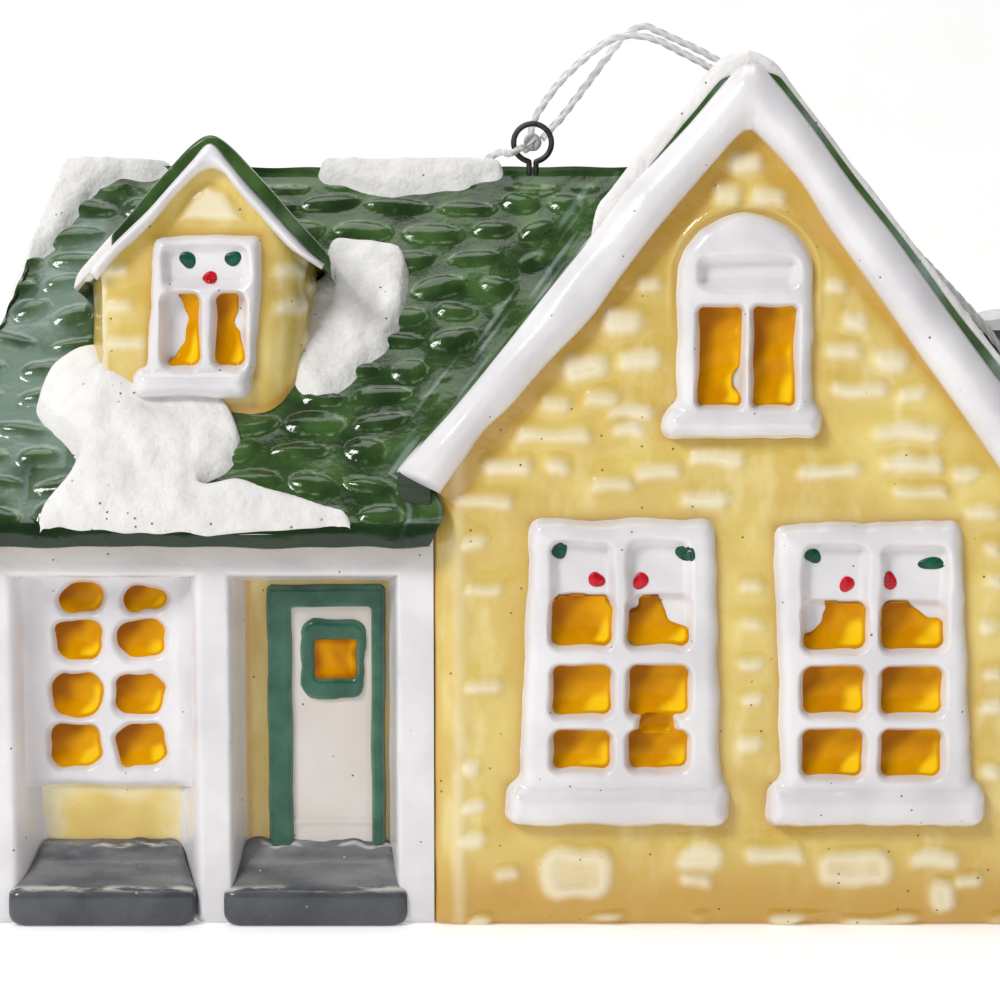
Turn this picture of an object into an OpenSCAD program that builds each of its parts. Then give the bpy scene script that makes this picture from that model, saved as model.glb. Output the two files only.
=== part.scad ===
// Glazed ceramic house ornament: a brick gable house with a porch wing, a dormer,
// a snow covered shingle roof, and a loop of cord tied to a wire eye on the ridge.
// The front looks along -Y, the ridge of the porch wing lies in the plane y = 0.

/* [Gable house] */
// Width across the gable wall
gable_w = 56; // [55.5:0.5:56.5]
// Height of the gable roof at its peak
peak_h = 78.4; // [78:0.2:78.8]
// Height of the gable roof at its eaves
gable_eave_h = 41.4; // [41:0.2:41.8]
// Where the gable's ridge ends and the rear hip begins
rear_hip_y = 1.5; // [1:0.1:2]

/* [Porch wing] */
// Length of the porch wing
wing_w = 43; // [42.5:0.5:43.5]
// Height of the wing's ridge
ridge_h = 68.4; // [68:0.2:68.8]
// Height of the wing's eaves, at their top edge
wing_eave_h = 37; // [36.8:0.1:37.4]
// How far the hip end leans in from eave to ridge
hip_run = 11.2; // [10:0.2:12]
// Set-back of the porch bays behind the posts
porch_depth = 4.5; // [4:0.1:5]

/* [Depth] */
// Depth over the walls
wall_depth = 44; // [43.5:0.5:44.5]
// Overhang of the eaves at the front and the back
overhang = 2.5; // [2.4:0.1:2.8]

/* [Ceramic] */
// Thickness of the walls
wall_t = 3; // [2.8:0.1:3.2]
// Thickness of the roofs, measured straight down
roof_t = 3.2; // [3:0.1:3.4]
// How far a shingle swells out of its course
shingle_h = 0.45; // [0.3:0.05:0.5]
// How far a brick stands out of the wall
brick_h = 0.35; // [0.2:0.05:0.5]
// Thickness of the snow, measured straight up
snow_t = 1.3; // [1.1:0.1:1.5]
// How far the window frames stand out of the wall
frame_d = 1.4; // [1.2:0.1:1.6]

/* [Hanger] */
// Diameter of the eye's wire
wire_d = 0.6; // [0.5:0.05:0.7]
// Outer diameter of the eye
eye_d = 4.2; // [4:0.1:4.4]
// Diameter of the hanging cord
cord_d = 0.7; // [0.6:0.05:0.8]

/* [Hidden] */
$fn = 48;

far = 120;
side_over = 2.5;
end_over = 3.45;
lip = 1.1;
eave_face = 1.5;
ridge_snow_t = 0.8;
bed = 0.1;
gable_snow_t = 1.1;
trim_w = 4.2;
total_w = end_over + wing_w + gable_w + side_over;
x_left = -total_w / 2;
x_right = total_w / 2;
gable_r = x_right - side_over;
gable_l = gable_r - gable_w;
gable_cx = (gable_l + gable_r) / 2;
wing_l = gable_l - wing_w;
front = -wall_depth / 2;
back = wall_depth / 2;
eave_y = front - overhang;
porch_front = front + 0.5;
porch_back = porch_front + porch_depth;
roof_front = eave_y + 0.3;

gable_run = gable_w / 2 + side_over;
gable_slope = (peak_h - gable_eave_h) / gable_run;
rear_run = -eave_y - rear_hip_y;
rear_slope = (peak_h - gable_eave_h) / rear_run;
wing_slope = (ridge_h - wing_eave_h) / -eave_y;
hip_slope = (ridge_h - wing_eave_h) / hip_run;
// A layer of even thickness is taller, straight up, on the steeper hips
hip_steep = sqrt(1 + hip_slope * hip_slope) / sqrt(1 + wing_slope * wing_slope);
rear_steep = sqrt(1 + rear_slope * rear_slope) / sqrt(1 + gable_slope * gable_slope);
ridge_x = x_left + hip_run;
eave_l = gable_cx - gable_run;
valley_x = gable_cx - (peak_h - ridge_h) / gable_slope;
valley_y = (ridge_h - gable_eave_h) / wing_slope;
wing_soffit = wing_eave_h - eave_face;
gable_soffit = gable_eave_h - eave_face;

dormer_x = -26.6;
dormer_front = -16.6;
dormer_peak = 72.3;
dormer_run = 11.4;
dormer_slope = 1.02;
dormer_wall_half = 8.6;
dormer_splay = 0.8;
dormer_lip = 0.9;
dormer_trim_w = 1.9;
dormer_trim_d = 1.8;
dormer_over = 2;
dormer_tilt = 10.4;
dormer_t = 2.2;

eye = [3.1, 0, 70.6];
eye_r = (eye_d - wire_d) / 2;
leg_x = wire_d * 0.55;
leg_len = 5;
chimney_x = [47, 52];
chimney_y = [4, 9.5];
chimney_top = 52.4;

// Bays of the porch: [left, right] at the posts' front and at the back wall
bay_window = [[-44.9, -26.9], [-41.8, -30]];
bay_door = [[-24.9, -9], [-23.2, -10.5]];
bay_top_front = 32.7;
bay_top_back = 30.9;

// Window openings: columns [x0, x1], rows [z0, z1]
left_cols = [[4.7, 10.1], [11.6, 17.1]];
left_rows = [[26.1, 30.6], [19.7, 24.3], [14.7, 18.3]];
left_blind = [31.4, 35.2];
left_outline = [[1.9, 12.6], [20, 12.6], [19.2, 37.5], [2.8, 37.4]];
left_sill = [0.7, 20.7, 9.5, 13.2];
right_cols = [[27.4, 33], [34.5, 40.1]];
right_rows = [[25.8, 30], [19.8, 24.2], [14, 18.4]];
right_blind = [31, 34.9];
right_outline = [[25.8, 12.6], [42.9, 12.6], [41.4, 37.4], [24.8, 37]];
right_sill = [24.4, 44, 9.4, 13.2];
attic_cols = [[17.7, 21.6], [22.6, 26.4]];
attic_rows = [[47.9, 56.8]];
attic_blind = [17.7, 26.4, 58.7, 61];
attic_sill = [14.6, 28.8, 45.1, 47.6];
attic_r = 6.1;
attic_side = [16, 27.8];
attic_top = 65;
dormer_cols = [[-30.5, -27.3], [-25.9, -23.2]];
dormer_rows = [[50.9, 57.6]];
dormer_blind = [-30.1, -23.2, 58.4, 61.5];
dormer_outline = [[-32.2, 50], [-22.5, 50], [-21.6, 62.8], [-31.3, 62.7]];
dormer_sill = [-33.3, -22.7, 48, 50.8];
porch_cols = [[-40.7, -36.3], [-34.9, -30.6]];
porch_rows = [[28.4, 30.4], [24, 27.5], [18.7, 22.6], [13.9, 17.7]];
porch_outline = [[-41.8, 12], [-30, 12], [-30, 30.9], [-41.8, 30.9]];
door_outer = [-21.4, -10.6, 5, 30.8];
door_leaf_box = [-19.1, -11.9, 5, 28.7];
door_light_outer = [-18.4, -12.5, 20.3, 27.6];
door_light_box = [-16.9, -13.3, 22.3, 25.7];
door_proud = 1.2;
leaf_proud = 0.6;
pane_t = 0.5;
blind_d = 0.6;

// Holly dots painted in the blind lights: [x, z]
leaf_spots = [[5.6, 34.4], [16.4, 34.4], [28.2, 34], [38.9, 34]];
berry_spots = [[8.9, 32.3], [12.8, 32.3], [31.5, 31.9], [35.6, 31.9]];
dormer_leaf_spots = [[-28.3, 60.6], [-24.2, 60.6]];
dormer_berry_spots = [[-26.3, 59.2]];
leaf_d = 1.3;
berry_d = 1.1;
dot_t = 0.25;

// Outlines of the snow in plan: [x, y]
drift_left_outline = [[-36, -12.5], [-40.8, -14], [-42, -16.2], [-38.2, -18.8], [-38.7, -21.5],
  [-41, -23.1], [-38, -23.8], [-30, -23.9], [-24, -23.9], [-18, -23.8], [-14.8, -23.4], [-17, -22.6],
  [-22, -22], [-26.2, -22.1], [-26.6, -21.2], [-23.8, -19.2], [-25.2, -17.1], [-28, -15.6], [-33, -14.5]];
drift_right_outline = [[-15.4, -5.5], [-10.2, -5.6], [-8.7, -7.2], [-9.3, -10], [-10.2, -11.7],
  [-13, -14.2], [-15.3, -15.3], [-16.7, -14.9], [-17, -13.2], [-16.4, -11.4], [-14.6, -10.9],
  [-14.5, -7.4]];
ridge_snow_outline = [[-17, 0], [-14.5, -0.9], [-10, -1.6], [-6, -1.1], [-2.8, -0.7], [0.1, 0],
  [-3, 1.4], [-9, 2.2], [-14, 1.5]];
corner_snow_outline = [[-34.3, 0], [-37.7, -0.8], [-40, -2.9], [-42, -5], [-44.9, -6.7], [-46.6, -5],
  [-46, 0], [-46.6, 5], [-42.8, 5.3], [-39.4, 3], [-37, 1.2]];
gable_snow_outline = [[gable_cx, eave_y + 0.4], [15.5, -24], [9, -23.6], [8, -21], [12, -17], [16, -9],
  [18, -1], [gable_cx, 3.2], [27, 0], [31, -6], [38, -10], [44, -16], [48, -20], [49.5, -24], [30, -24]];

// Route of the hanging loop: up from the knot, over the gable to its right eave, and back
loop_out = [[2.9, 2.7, 70.7], [3, 2.7, 71.7], [3.4, 2.6, 72.9], [4.3, 2.5, 74.4], [6, 2.4, 76.6],
  [8.6, 2.2, 79], [10.6, 2.1, 80.3], [12.2, 2.1, 80.7], [13.8, 2.2, 80.6], [15.4, 2.6, 80.1],
  [17, 3.3, 79.3], [19, 4.1, 78.3], [21, 4.7, 77.3], [24, 4.9, 76.4], [26.5, 4.6, 74.6], [29, 4.1, 71.8],
  [34, 3, 65.9], [40, 2, 59.8], [45.4, 1.4, 54.3], [48.2, 1, 50.9], [50, 0.5, 48.1], [51.2, 0.3, 45.6]];
loop_end = [[51.7, 0.8, 44.2], [51.9, 1.7, 43.5], [51.7, 2.5, 44.2]];
loop_back = [[51.2, 2.9, 45.6], [50, 2.9, 48.1], [48.3, 2.6, 51], [45.5, 2.6, 54.4], [40.1, 3, 60.1],
  [34.1, 4.1, 66.3], [29.1, 5.2, 71.7], [26.6, 5.8, 74.3], [24.2, 6.1, 76.2], [21.4, 6, 78.1],
  [19, 5.4, 79.4], [17, 4.8, 80.3], [15.2, 4.3, 81.1], [13.6, 4, 81.6], [11.9, 3.9, 80.6],
  [10.3, 3.8, 78.7], [8.9, 3.8, 76.8], [7.3, 3.8, 74.7], [6, 3.7, 73], [5.1, 3.5, 72], [4.1, 2.8, 70.9]];
// Route of the tail: out of the knot, round the eye's wire and down behind the ridge
tail_route = [[2.9, 1.3, 70.1], [2.5, 0.75, 69.85], [2.25, 0, 70.15], [1.5, -0.85, 69.85],
  [0.72, -0.05, 69.55], [0.4, 0.9, 69.7], [-0.6, 1.6, 69.4], [-1.6, 2.3, 68.5], [-2.4, 3, 67.3]];
knot_y = 1.3;
knot_r = 0.8;

function ease(p, q, r, s, t) = 0.5 * (2 * q + (r - p) * t + (2 * p - 5 * q + 4 * r - s) * t * t
  + (3 * q - p - 3 * r + s) * t * t * t);
// Smooth closed curve through the points, n steps between neighbours
function closed_curve(pts, n) = [for (i = [0:len(pts) - 1], k = [0:n - 1])
  ease(pts[(i + len(pts) - 1) % len(pts)], pts[i], pts[(i + 1) % len(pts)],
    pts[(i + 2) % len(pts)], k / n)];
// Smooth open curve through the points, n steps between neighbours
function open_curve(pts, n) = let (last = len(pts) - 1) concat([for (i = [0:last - 1], k = [0:n - 1])
  ease(pts[max(i - 1, 0)], pts[i], pts[i + 1], pts[min(i + 2, last)], k / n)], [pts[last]]);
function unit(v) = v / norm(v);
function route_dir(pts, i) = unit(pts[min(i + 1, len(pts) - 1)] - pts[max(i - 1, 0)]);

module along_x(x0, x1) {
  translate([x0, 0, 0]) rotate([90, 0, 90]) linear_extrude(x1 - x0) children();
}

module along_y(y0, y1) {
  translate([0, y1, 0]) rotate([90, 0, 0]) linear_extrude(y1 - y0) children();
}

module plan_prism(outline) {
  linear_extrude(far) polygon(outline);
}

module below(z) {
  translate([-far, -far, -1]) cube([2 * far, 2 * far, z + 1]);
}

module mirror_about(x) {
  translate([x, 0, 0]) mirror([1, 0, 0]) translate([-x, 0, 0]) children();
}

// Everything under the wing's roof planes, raised by h
module wing_under(h) {
  low = ridge_h - wing_slope * 40 + h;
  intersection() {
    along_x(-far, far) polygon([[-40, -1], [40, -1], [40, low], [0, ridge_h + h], [-40, low]]);
    along_y(-far, far) polygon([[x_left - 8, -1], [far, -1], [far, far],
      [ridge_x + (far - ridge_h - h * hip_steep) / hip_slope, far],
      [x_left - 8, wing_eave_h - hip_slope * 8 + h * hip_steep]]);
  }
}

// Everything under the gable's roof planes, raised by h
module gable_under(h) {
  low = peak_h - gable_slope * 45 + h;
  top = peak_h + h * rear_steep;
  intersection() {
    along_y(-far, far) polygon([[gable_cx - 45, -1], [gable_cx + 45, -1], [gable_cx + 45, low],
      [gable_cx, peak_h + h], [gable_cx - 45, low]]);
    along_x(-far, far) polygon([[-far, -1], [40, -1], [40, top - rear_slope * (40 - rear_hip_y)],
      [rear_hip_y - (far - top) / rear_slope, far], [-far, far]]);
  }
}

// Everything under the dormer's roof planes, raised by h
module dormer_under(h) {
  translate([dormer_x, dormer_front - dormer_over, dormer_peak]) rotate([-dormer_tilt, 0, 0])
    along_y(-10, 40) polygon([[0, h], [20, h - 20 * dormer_slope], [20, -40], [-20, -40],
      [-20, h - 20 * dormer_slope]]);
}

// One roof slope in its own frame: eave at y = -run, ridge at y = 0, courses along x.
// Each course swells like a pillow, and scored joints part its shingles.
module shingle_skin(x0, x1, run, top, slope, courses, seed) {
  pitch = run / courses;
  angle = atan(slope);
  chord = 0.94 * pitch / cos(angle);
  swell_r = (chord * chord / 4 + shingle_h * shingle_h) / (2 * shingle_h);
  sink = swell_r - shingle_h;
  shingle_len = 6.4;
  per_course = ceil((x1 - x0) / shingle_len);
  shift = rands(0, shingle_len, courses, seed);
  difference() {
    along_x(x0, x1) {
      polygon([[-run, 0], [0, 0], [0, top], [-run, top - slope * run]]);
      for (i = [0:courses - 1])
        translate([-(i + 0.5) * pitch, top - slope * (i + 0.5) * pitch])
          translate(sink * [sin(angle), -cos(angle)]) circle(swell_r);
    }
    for (i = [0:courses - 1], k = [0:per_course - 1])
      translate([x0 + k * shingle_len + shift[i], -(i + 0.5) * pitch, top - slope * (i + 0.5) * pitch])
        rotate([angle, 0, 0]) cube([0.4, chord * 0.8, shingle_h * 2], center = true);
  }
}

// Low bricks on a wall face in the XZ plane, in staggered courses of uneven stones
module brick_field(x0, x1, z0, z1, face, seed, keep_out) {
  course = 3.7;
  brick_half = 1.1;
  gap = 0.4;
  count = floor((z1 - z0) / course);
  stones = floor((x1 - x0) / 6.6);
  jitter = rands(-1, 1, max(1, count * stones * 3), seed);
  for (i = [0:count - 1], k = [0:stones - 1]) {
    n = (i * stones + k) * 3;
    half = 2.4 + jitter[n] * 0.5;
    cx = x0 + (k + 0.5 + (i % 2) * 0.4 - 0.2) * (x1 - x0) / stones + jitter[n + 1] * 0.6;
    cz = z0 + (i + 0.5) * course + jitter[n + 2] * 0.3;
    blocked = [for (b = keep_out) if (cx + half > b[0] - gap && cx - half < b[1] + gap
      && cz + brick_half > b[2] - gap && cz - brick_half < b[3] + gap) 1];
    if (len(blocked) == 0 && cx - half > x0 && cx + half < x1)
      along_y(face - brick_h, face + 0.2) translate([cx, cz]) brick_outline(half, brick_half, 0.7);
  }
}

// Rectangle with half sides a and b and its corners worn round
module brick_outline(a, b, r) {
  polygon([for (q = [[1, 1], [-1, 1], [-1, -1], [1, -1]], k = [0:2])
    let (turn = q[0] * q[1] > 0 ? 45 * k : 90 - 45 * k)
    [q[0] * (a - r + r * cos(turn)), q[1] * (b - r + r * sin(turn))]]);
}

// Rectangle [x0, x1, z0, z1] with round corners
module soft_rect(b, r) {
  translate([b[0] + r, b[2]]) square([b[1] - b[0] - 2 * r, b[3] - b[2]]);
  translate([b[0], b[2] + r]) square([b[1] - b[0], b[3] - b[2] - 2 * r]);
  for (x = [b[0] + r, b[1] - r], z = [b[2] + r, b[3] - r]) translate([x, z]) circle(r);
}

// Straight-sided outline with its corners rounded
module soft_outline(pts, r) {
  offset(r = r, $fn = 24) offset(delta = -r) polygon(pts);
}

// Every light of a window as a box [x0, x1, z0, z1]
function lights(cols, rows) = [for (c = cols, r = rows) [c[0], c[1], r[0], r[1]]];

module cut_lights(boxes, face) {
  for (b = boxes) along_y(face - 5, face + 1) soft_rect(b, 0.6);
}

module cut_blinds(boxes, face, proud) {
  for (b = boxes) along_y(face - 5, face - proud + blind_d) soft_rect(b, 0.6);
}

module panes(boxes, face) {
  for (b = boxes) along_y(face - pane_t, face) soft_rect(b, 0.6);
}

// Sill [x0, x1, z0, z1]: a bar with a rounded nose
module sill(b, face, proud) {
  h = b[3] - b[2];
  r = min(0.9, h / 3, proud / 2);
  along_x(b[0], b[1]) {
    translate([face - proud + r, b[2]]) square([proud - r, h]);
    translate([face - proud, b[2] + r]) square([proud, h - 2 * r]);
    for (z = [b[2] + r, b[3] - r]) translate([face - proud + r, z]) circle(r);
  }
}

// One leg of a rounded barge board, running down to the right from its apex
module barge_leg(apex, angle, width, depth, face, length) {
  rise = depth * 0.5;
  nose_r = (width * width / 4 + rise * rise) / (2 * rise);
  intersection() {
    translate(apex) rotate([0, 90 + angle, 0]) linear_extrude(length) {
      translate([0, face - depth + rise]) square([width, depth - rise]);
      intersection() {
        translate([width / 2, face - depth + nose_r]) circle(nose_r);
        translate([0, face - depth]) square([width, rise]);
      }
    }
    translate([apex[0], -far, 0]) cube([far, 2 * far, far]);
  }
}

// Snow on the wing's roof, lying on the bare clay between the shingles
module wing_snow(outline, thick) {
  difference() {
    intersection() {
      plan_prism(closed_curve(outline, 3));
      wing_under(thick);
    }
    wing_under(-bed);
  }
}

// Where the snow lies on the wing's roof, cleared of shingles
module snow_seats(outlines) {
  difference() {
    for (outline = outlines) plan_prism(closed_curve(outline, 3));
    wing_under(-bed);
  }
}

// Round tube swept along a route that is nowhere parallel to ref
module tube(pts, d, ref) {
  sides = 8;
  last = len(pts) - 1;
  step = 360 / sides;
  rings = [for (i = [0:last]) let (t = route_dir(pts, i), a = unit(cross(t, ref)), b = cross(t, a))
    for (k = [0:sides - 1]) pts[i] + d / 2 * (cos(k * step) * a + sin(k * step) * b)];
  walls = [for (i = [0:last - 1], k = [0:sides - 1]) let (m = (k + 1) % sides)
    [i * sides + k, (i + 1) * sides + k, (i + 1) * sides + m, i * sides + m]];
  ends = [[for (k = [0:sides - 1]) k], [for (k = [sides - 1:-1:0]) last * sides + k]];
  polyhedron(rings, concat(walls, ends), convexity = 8);
}

// The plan of the gable walls, with soft corners at the front
module gable_plan() {
  r = 1.8;
  translate([gable_l, front + r]) square([gable_w, wall_depth - r]);
  translate([gable_l + r, front]) square([gable_w - 2 * r, wall_depth]);
  for (x = [gable_l + r, gable_r - r]) translate([x, front + r]) circle(r);
}

module base_plate() {
  inner = front + wall_t;
  color("wheat") difference() {
    linear_extrude(wall_t) polygon([[wing_l + wall_t, porch_back + wall_t],
      [gable_l, porch_back + wall_t], [gable_l, inner], [gable_r - wall_t, inner],
      [gable_r - wall_t, -inner], [wing_l + wall_t, -inner]]);
    translate([gable_cx, 0, -1]) cylinder(r = 2.5, h = wall_t + 2);
  }
}

module front_gable_wall() {
  color("khaki") intersection() {
    union() {
      intersection() {
        linear_extrude(far) gable_plan();
        translate([gable_l, front, 0]) cube([gable_w, wall_t, far]);
      }
      brick_field(gable_l + 1.5, gable_r - 1.5, 1, 71, front, 7, [
        [0.5, 20.9, 9.3, 37.7], [24.2, 44.2, 9.2, 37.6], [14.4, 29, 44.9, 65.2],
        for (i = [0:12]) [gable_l - 9, gable_l + i * 2.3 + 4.3, 41 + i * 2.3 * gable_slope, far],
        for (i = [0:12]) [gable_r - i * 2.3 - 4.3, gable_r + 9, 41 + i * 2.3 * gable_slope, far]]);
    }
    gable_under(-roof_t);
  }
}

module gable_right_wall() {
  color("khaki") intersection() {
    union() {
      translate([gable_r - wall_t, front + wall_t, 0]) cube([wall_t, wall_depth - 2 * wall_t, far]);
      translate([gable_r, 0, 0]) rotate([0, 0, 90]) brick_field(front + 4, back - 4, 1, 40, 0, 11, []);
    }
    gable_under(-roof_t);
  }
}

module gable_left_wall() {
  color("khaki") intersection() {
    translate([gable_l, front + wall_t, wall_t]) cube([wall_t, wall_depth - 2 * wall_t, far]);
    gable_under(-roof_t);
  }
}

module gable_rear_wall() {
  color("khaki") intersection() {
    union() {
      translate([gable_l, back - wall_t, 0]) cube([gable_w, wall_t, far]);
      rotate([0, 0, 180]) brick_field(-gable_r + 2, -gable_l - 2, 1, 40, -back, 13, []);
    }
    gable_under(-roof_t);
  }
}

module wing_end_wall() {
  color("khaki") intersection() {
    union() {
      translate([wing_l, porch_back, 0]) cube([wall_t, back - porch_back, far]);
      translate([wing_l, 0, 0]) rotate([0, 0, -90]) brick_field(-back + 2, -porch_back - 2, 1, 38, 0, 17, []);
    }
    wing_under(-roof_t);
  }
}

module wing_rear_wall() {
  color("khaki") intersection() {
    union() {
      translate([wing_l + wall_t, back - wall_t, 0]) cube([wing_w - wall_t, wall_t, far]);
      rotate([0, 0, 180]) brick_field(-gable_l + 1, -wing_l - wall_t - 1, 1, 36, -back, 19, []);
    }
    wing_under(-roof_t);
  }
}

module porch_back_wall() {
  color("khaki") translate([wing_l + wall_t, porch_back, 0]) cube([wing_w - wall_t, wall_t, 36]);
}

// Everything below the drafted underside of the lintel
module below_lintel() {
  along_x(-far, far) polygon([[porch_front, 0], [porch_back, 0], [porch_back, bay_top_back],
    [porch_front, bay_top_front]]);
}

// A porch post with drafted sides: [left, right] at its front and at its back
module porch_post(at_front, at_back) {
  color("whitesmoke") intersection() {
    plan_prism([[at_front[0], porch_front], [at_front[1], porch_front], [at_back[1], porch_back],
      [at_back[0], porch_back]]);
    below_lintel();
  }
}

module porch_post_left() {
  porch_post([wing_l, bay_window[0][0]], [wing_l, bay_window[1][0]]);
}

module porch_post_middle() {
  porch_post([bay_window[0][1], bay_door[0][0]], [bay_window[1][1], bay_door[1][0]]);
}

module porch_post_right() {
  porch_post([bay_door[0][1], gable_l], [bay_door[1][1], gable_l]);
}

module porch_lintel() {
  color("whitesmoke") difference() {
    intersection() {
      translate([wing_l, porch_front, 0]) cube([wing_w, porch_depth, far]);
      wing_under(-roof_t);
    }
    below_lintel();
  }
}

// Soft double step filling the foot of a bay
module porch_step(bay) {
  toe = front - 0.3;
  color("dimgray") intersection() {
    plan_prism([[bay[0][0], toe], [bay[0][1], toe], [bay[0][1], porch_front], [bay[1][1], porch_back],
      [bay[1][0], porch_back], [bay[0][0], porch_front]]);
    along_x(-far, far) {
      polygon([[toe, 0], [porch_back, 0], [porch_back, 6.9], [toe + 3.6, 6.6], [toe + 3.2, 5.7],
        [toe + 0.6, 3.6], [toe, 3]]);
      translate([toe + 0.6, 3]) circle(0.6);
    }
  }
}

module porch_step_left() {
  porch_step(bay_window);
}

module porch_step_right() {
  porch_step(bay_door);
}

// Where the dormer stands on the front slope, cleared of shingles
module dormer_seat() {
  w = dormer_wall_half;
  difference() {
    translate([dormer_x, 0, 0]) plan_prism([[-w - 0.2, dormer_front], [w + 0.2, dormer_front],
      [w + dormer_splay, -11], [dormer_run, -10.5], [dormer_run, -7], [3, 0], [-3, 0],
      [-dormer_run, -7], [-dormer_run, -10.5], [-w - dormer_splay, -11]]);
    wing_under(-bed);
  }
}

module eye_legs(d) {
  for (side = [-1, 1]) translate([eye[0] + side * leg_x, 0, eye[2] - eye_r - leg_len])
    cylinder(d = d, h = leg_len + wire_d * 0.4);
}

module front_roof_slope() {
  color("darkgreen") difference() {
    intersection() {
      plan_prism([[x_left, eave_y], [gable_l + 0.6, eave_y], [eave_l, eave_y + 1.9], [eave_l, -valley_y],
        [valley_x, 0], [ridge_x, 0]]);
      shingle_skin(x_left, valley_x, -eave_y, ridge_h, wing_slope, 11, 3);
    }
    wing_under(-roof_t);
    below(wing_soffit);
    dormer_seat();
    snow_seats([drift_left_outline, drift_right_outline, ridge_snow_outline, corner_snow_outline]);
    eye_legs(wire_d);
  }
}

module rear_roof_slope() {
  color("darkgreen") difference() {
    intersection() {
      plan_prism([[x_left, -eave_y], [ridge_x, 0], [valley_x, 0], [eave_l, valley_y], [eave_l, -eave_y]]);
      rotate([0, 0, 180]) shingle_skin(-valley_x, -x_left, -eave_y, ridge_h, wing_slope, 11, 5);
    }
    wing_under(-roof_t);
    below(wing_soffit);
    snow_seats([ridge_snow_outline, corner_snow_outline]);
    eye_legs(wire_d);
  }
}

module hip_roof_end() {
  color("darkgreen") difference() {
    intersection() {
      plan_prism([[x_left, eave_y], [ridge_x, 0], [x_left, -eave_y]]);
      translate([ridge_x, 0, 0]) rotate([0, 0, -90])
        shingle_skin(eave_y, -eave_y, hip_run, ridge_h, hip_slope, 9, 8);
    }
    wing_under(-roof_t);
    below(wing_soffit);
    snow_seats([corner_snow_outline]);
  }
}

// Room for the barge boards under the front edge of the gable roof
module front_lip_room() {
  intersection() {
    translate([-far, eave_y - 1, 0]) cube([2 * far, overhang + 1, far]);
    gable_under(-lip);
  }
}

module gable_roof_left() {
  color("darkgreen") difference() {
    intersection() {
      plan_prism([[gable_cx, roof_front], [eave_l, roof_front], [eave_l, -valley_y], [valley_x, 0],
        [eave_l, valley_y], [eave_l, -eave_y], [gable_cx, rear_hip_y]]);
      gable_under(0);
    }
    gable_under(-roof_t);
    below(gable_soffit);
    front_lip_room();
  }
}

module gable_roof_right() {
  color("darkgreen") difference() {
    intersection() {
      plan_prism([[gable_cx, roof_front], [gable_cx, rear_hip_y], [x_right, -eave_y],
        [x_right, roof_front]]);
      gable_under(0);
    }
    gable_under(-roof_t);
    below(gable_soffit);
    front_lip_room();
  }
}

module gable_roof_rear() {
  color("darkgreen") difference() {
    intersection() {
      plan_prism([[eave_l, -eave_y], [gable_cx, rear_hip_y], [x_right, -eave_y]]);
      translate([0, rear_hip_y, 0]) rotate([0, 0, 180])
        shingle_skin(-x_right, -eave_l, rear_run, peak_h, rear_slope, 12, 21);
    }
    gable_under(-roof_t);
    below(gable_soffit);
  }
}

module gable_trim_leg() {
  color("white") intersection() {
    barge_leg([gable_cx, 0, peak_h - lip], atan(gable_slope), trim_w, overhang, front, 60);
    translate([gable_cx, eave_y, gable_eave_h - lip]) cube([gable_run, overhang, far]);
  }
}

module gable_trim_left() {
  mirror_about(gable_cx) gable_trim_leg();
}

module gable_trim_right() {
  gable_trim_leg();
}

module dormer_walls() {
  w = dormer_wall_half;
  wide = w + dormer_splay;
  color("khaki") difference() {
    intersection() {
      translate([dormer_x, 0, 0]) plan_prism([[-w, dormer_front], [w, dormer_front], [wide, -10],
        [wide, -3], [-wide, -3], [-wide, -10]]);
      dormer_under(-dormer_t);
    }
    wing_under(-bed);
  }
}

// The right slope of the dormer's roof, thin at the front where the trim goes under it
module dormer_slope_slab() {
  tip = dormer_front - dormer_over;
  color("darkgreen") difference() {
    intersection() {
      dormer_under(0);
      translate([dormer_x, tip, 40]) cube([dormer_run, -tip - 0.2, 40]);
    }
    intersection() {
      dormer_under(-dormer_lip);
      translate([-far, tip - 1, 0]) cube([2 * far, dormer_over + 1, far]);
    }
    dormer_under(-dormer_t);
    wing_under(-bed);
  }
}

module dormer_roof_left() {
  mirror_about(dormer_x) dormer_slope_slab();
}

module dormer_roof_right() {
  dormer_slope_slab();
}

module dormer_trim_leg() {
  color("white") intersection() {
    barge_leg([dormer_x, 0, dormer_peak - dormer_lip], atan(dormer_slope), dormer_trim_w,
      dormer_trim_d, dormer_front, 20);
    dormer_under(-dormer_lip);
    translate([dormer_x, -30, 60]) cube([dormer_run, 30, 20]);
  }
}

module dormer_trim_left() {
  mirror_about(dormer_x) dormer_trim_leg();
}

module dormer_trim_right() {
  dormer_trim_leg();
}

module left_window_frame() {
  color("whitesmoke") difference() {
    union() {
      along_y(front - frame_d, front) soft_outline(left_outline, 0.8);
      sill(left_sill, front, frame_d + 0.5);
    }
    cut_lights(lights(left_cols, left_rows), front);
    cut_blinds(lights(left_cols, [left_blind]), front, frame_d);
  }
}

module left_window_panes() {
  color("goldenrod") panes(lights(left_cols, left_rows), front);
}

module right_window_frame() {
  color("whitesmoke") difference() {
    union() {
      along_y(front - frame_d, front) soft_outline(right_outline, 0.8);
      sill(right_sill, front, frame_d + 0.5);
    }
    cut_lights(lights(right_cols, right_rows), front);
    cut_blinds(lights(right_cols, [right_blind]), front, frame_d);
  }
}

module right_window_panes() {
  color("goldenrod") panes(lights(right_cols, right_rows), front);
}

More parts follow.
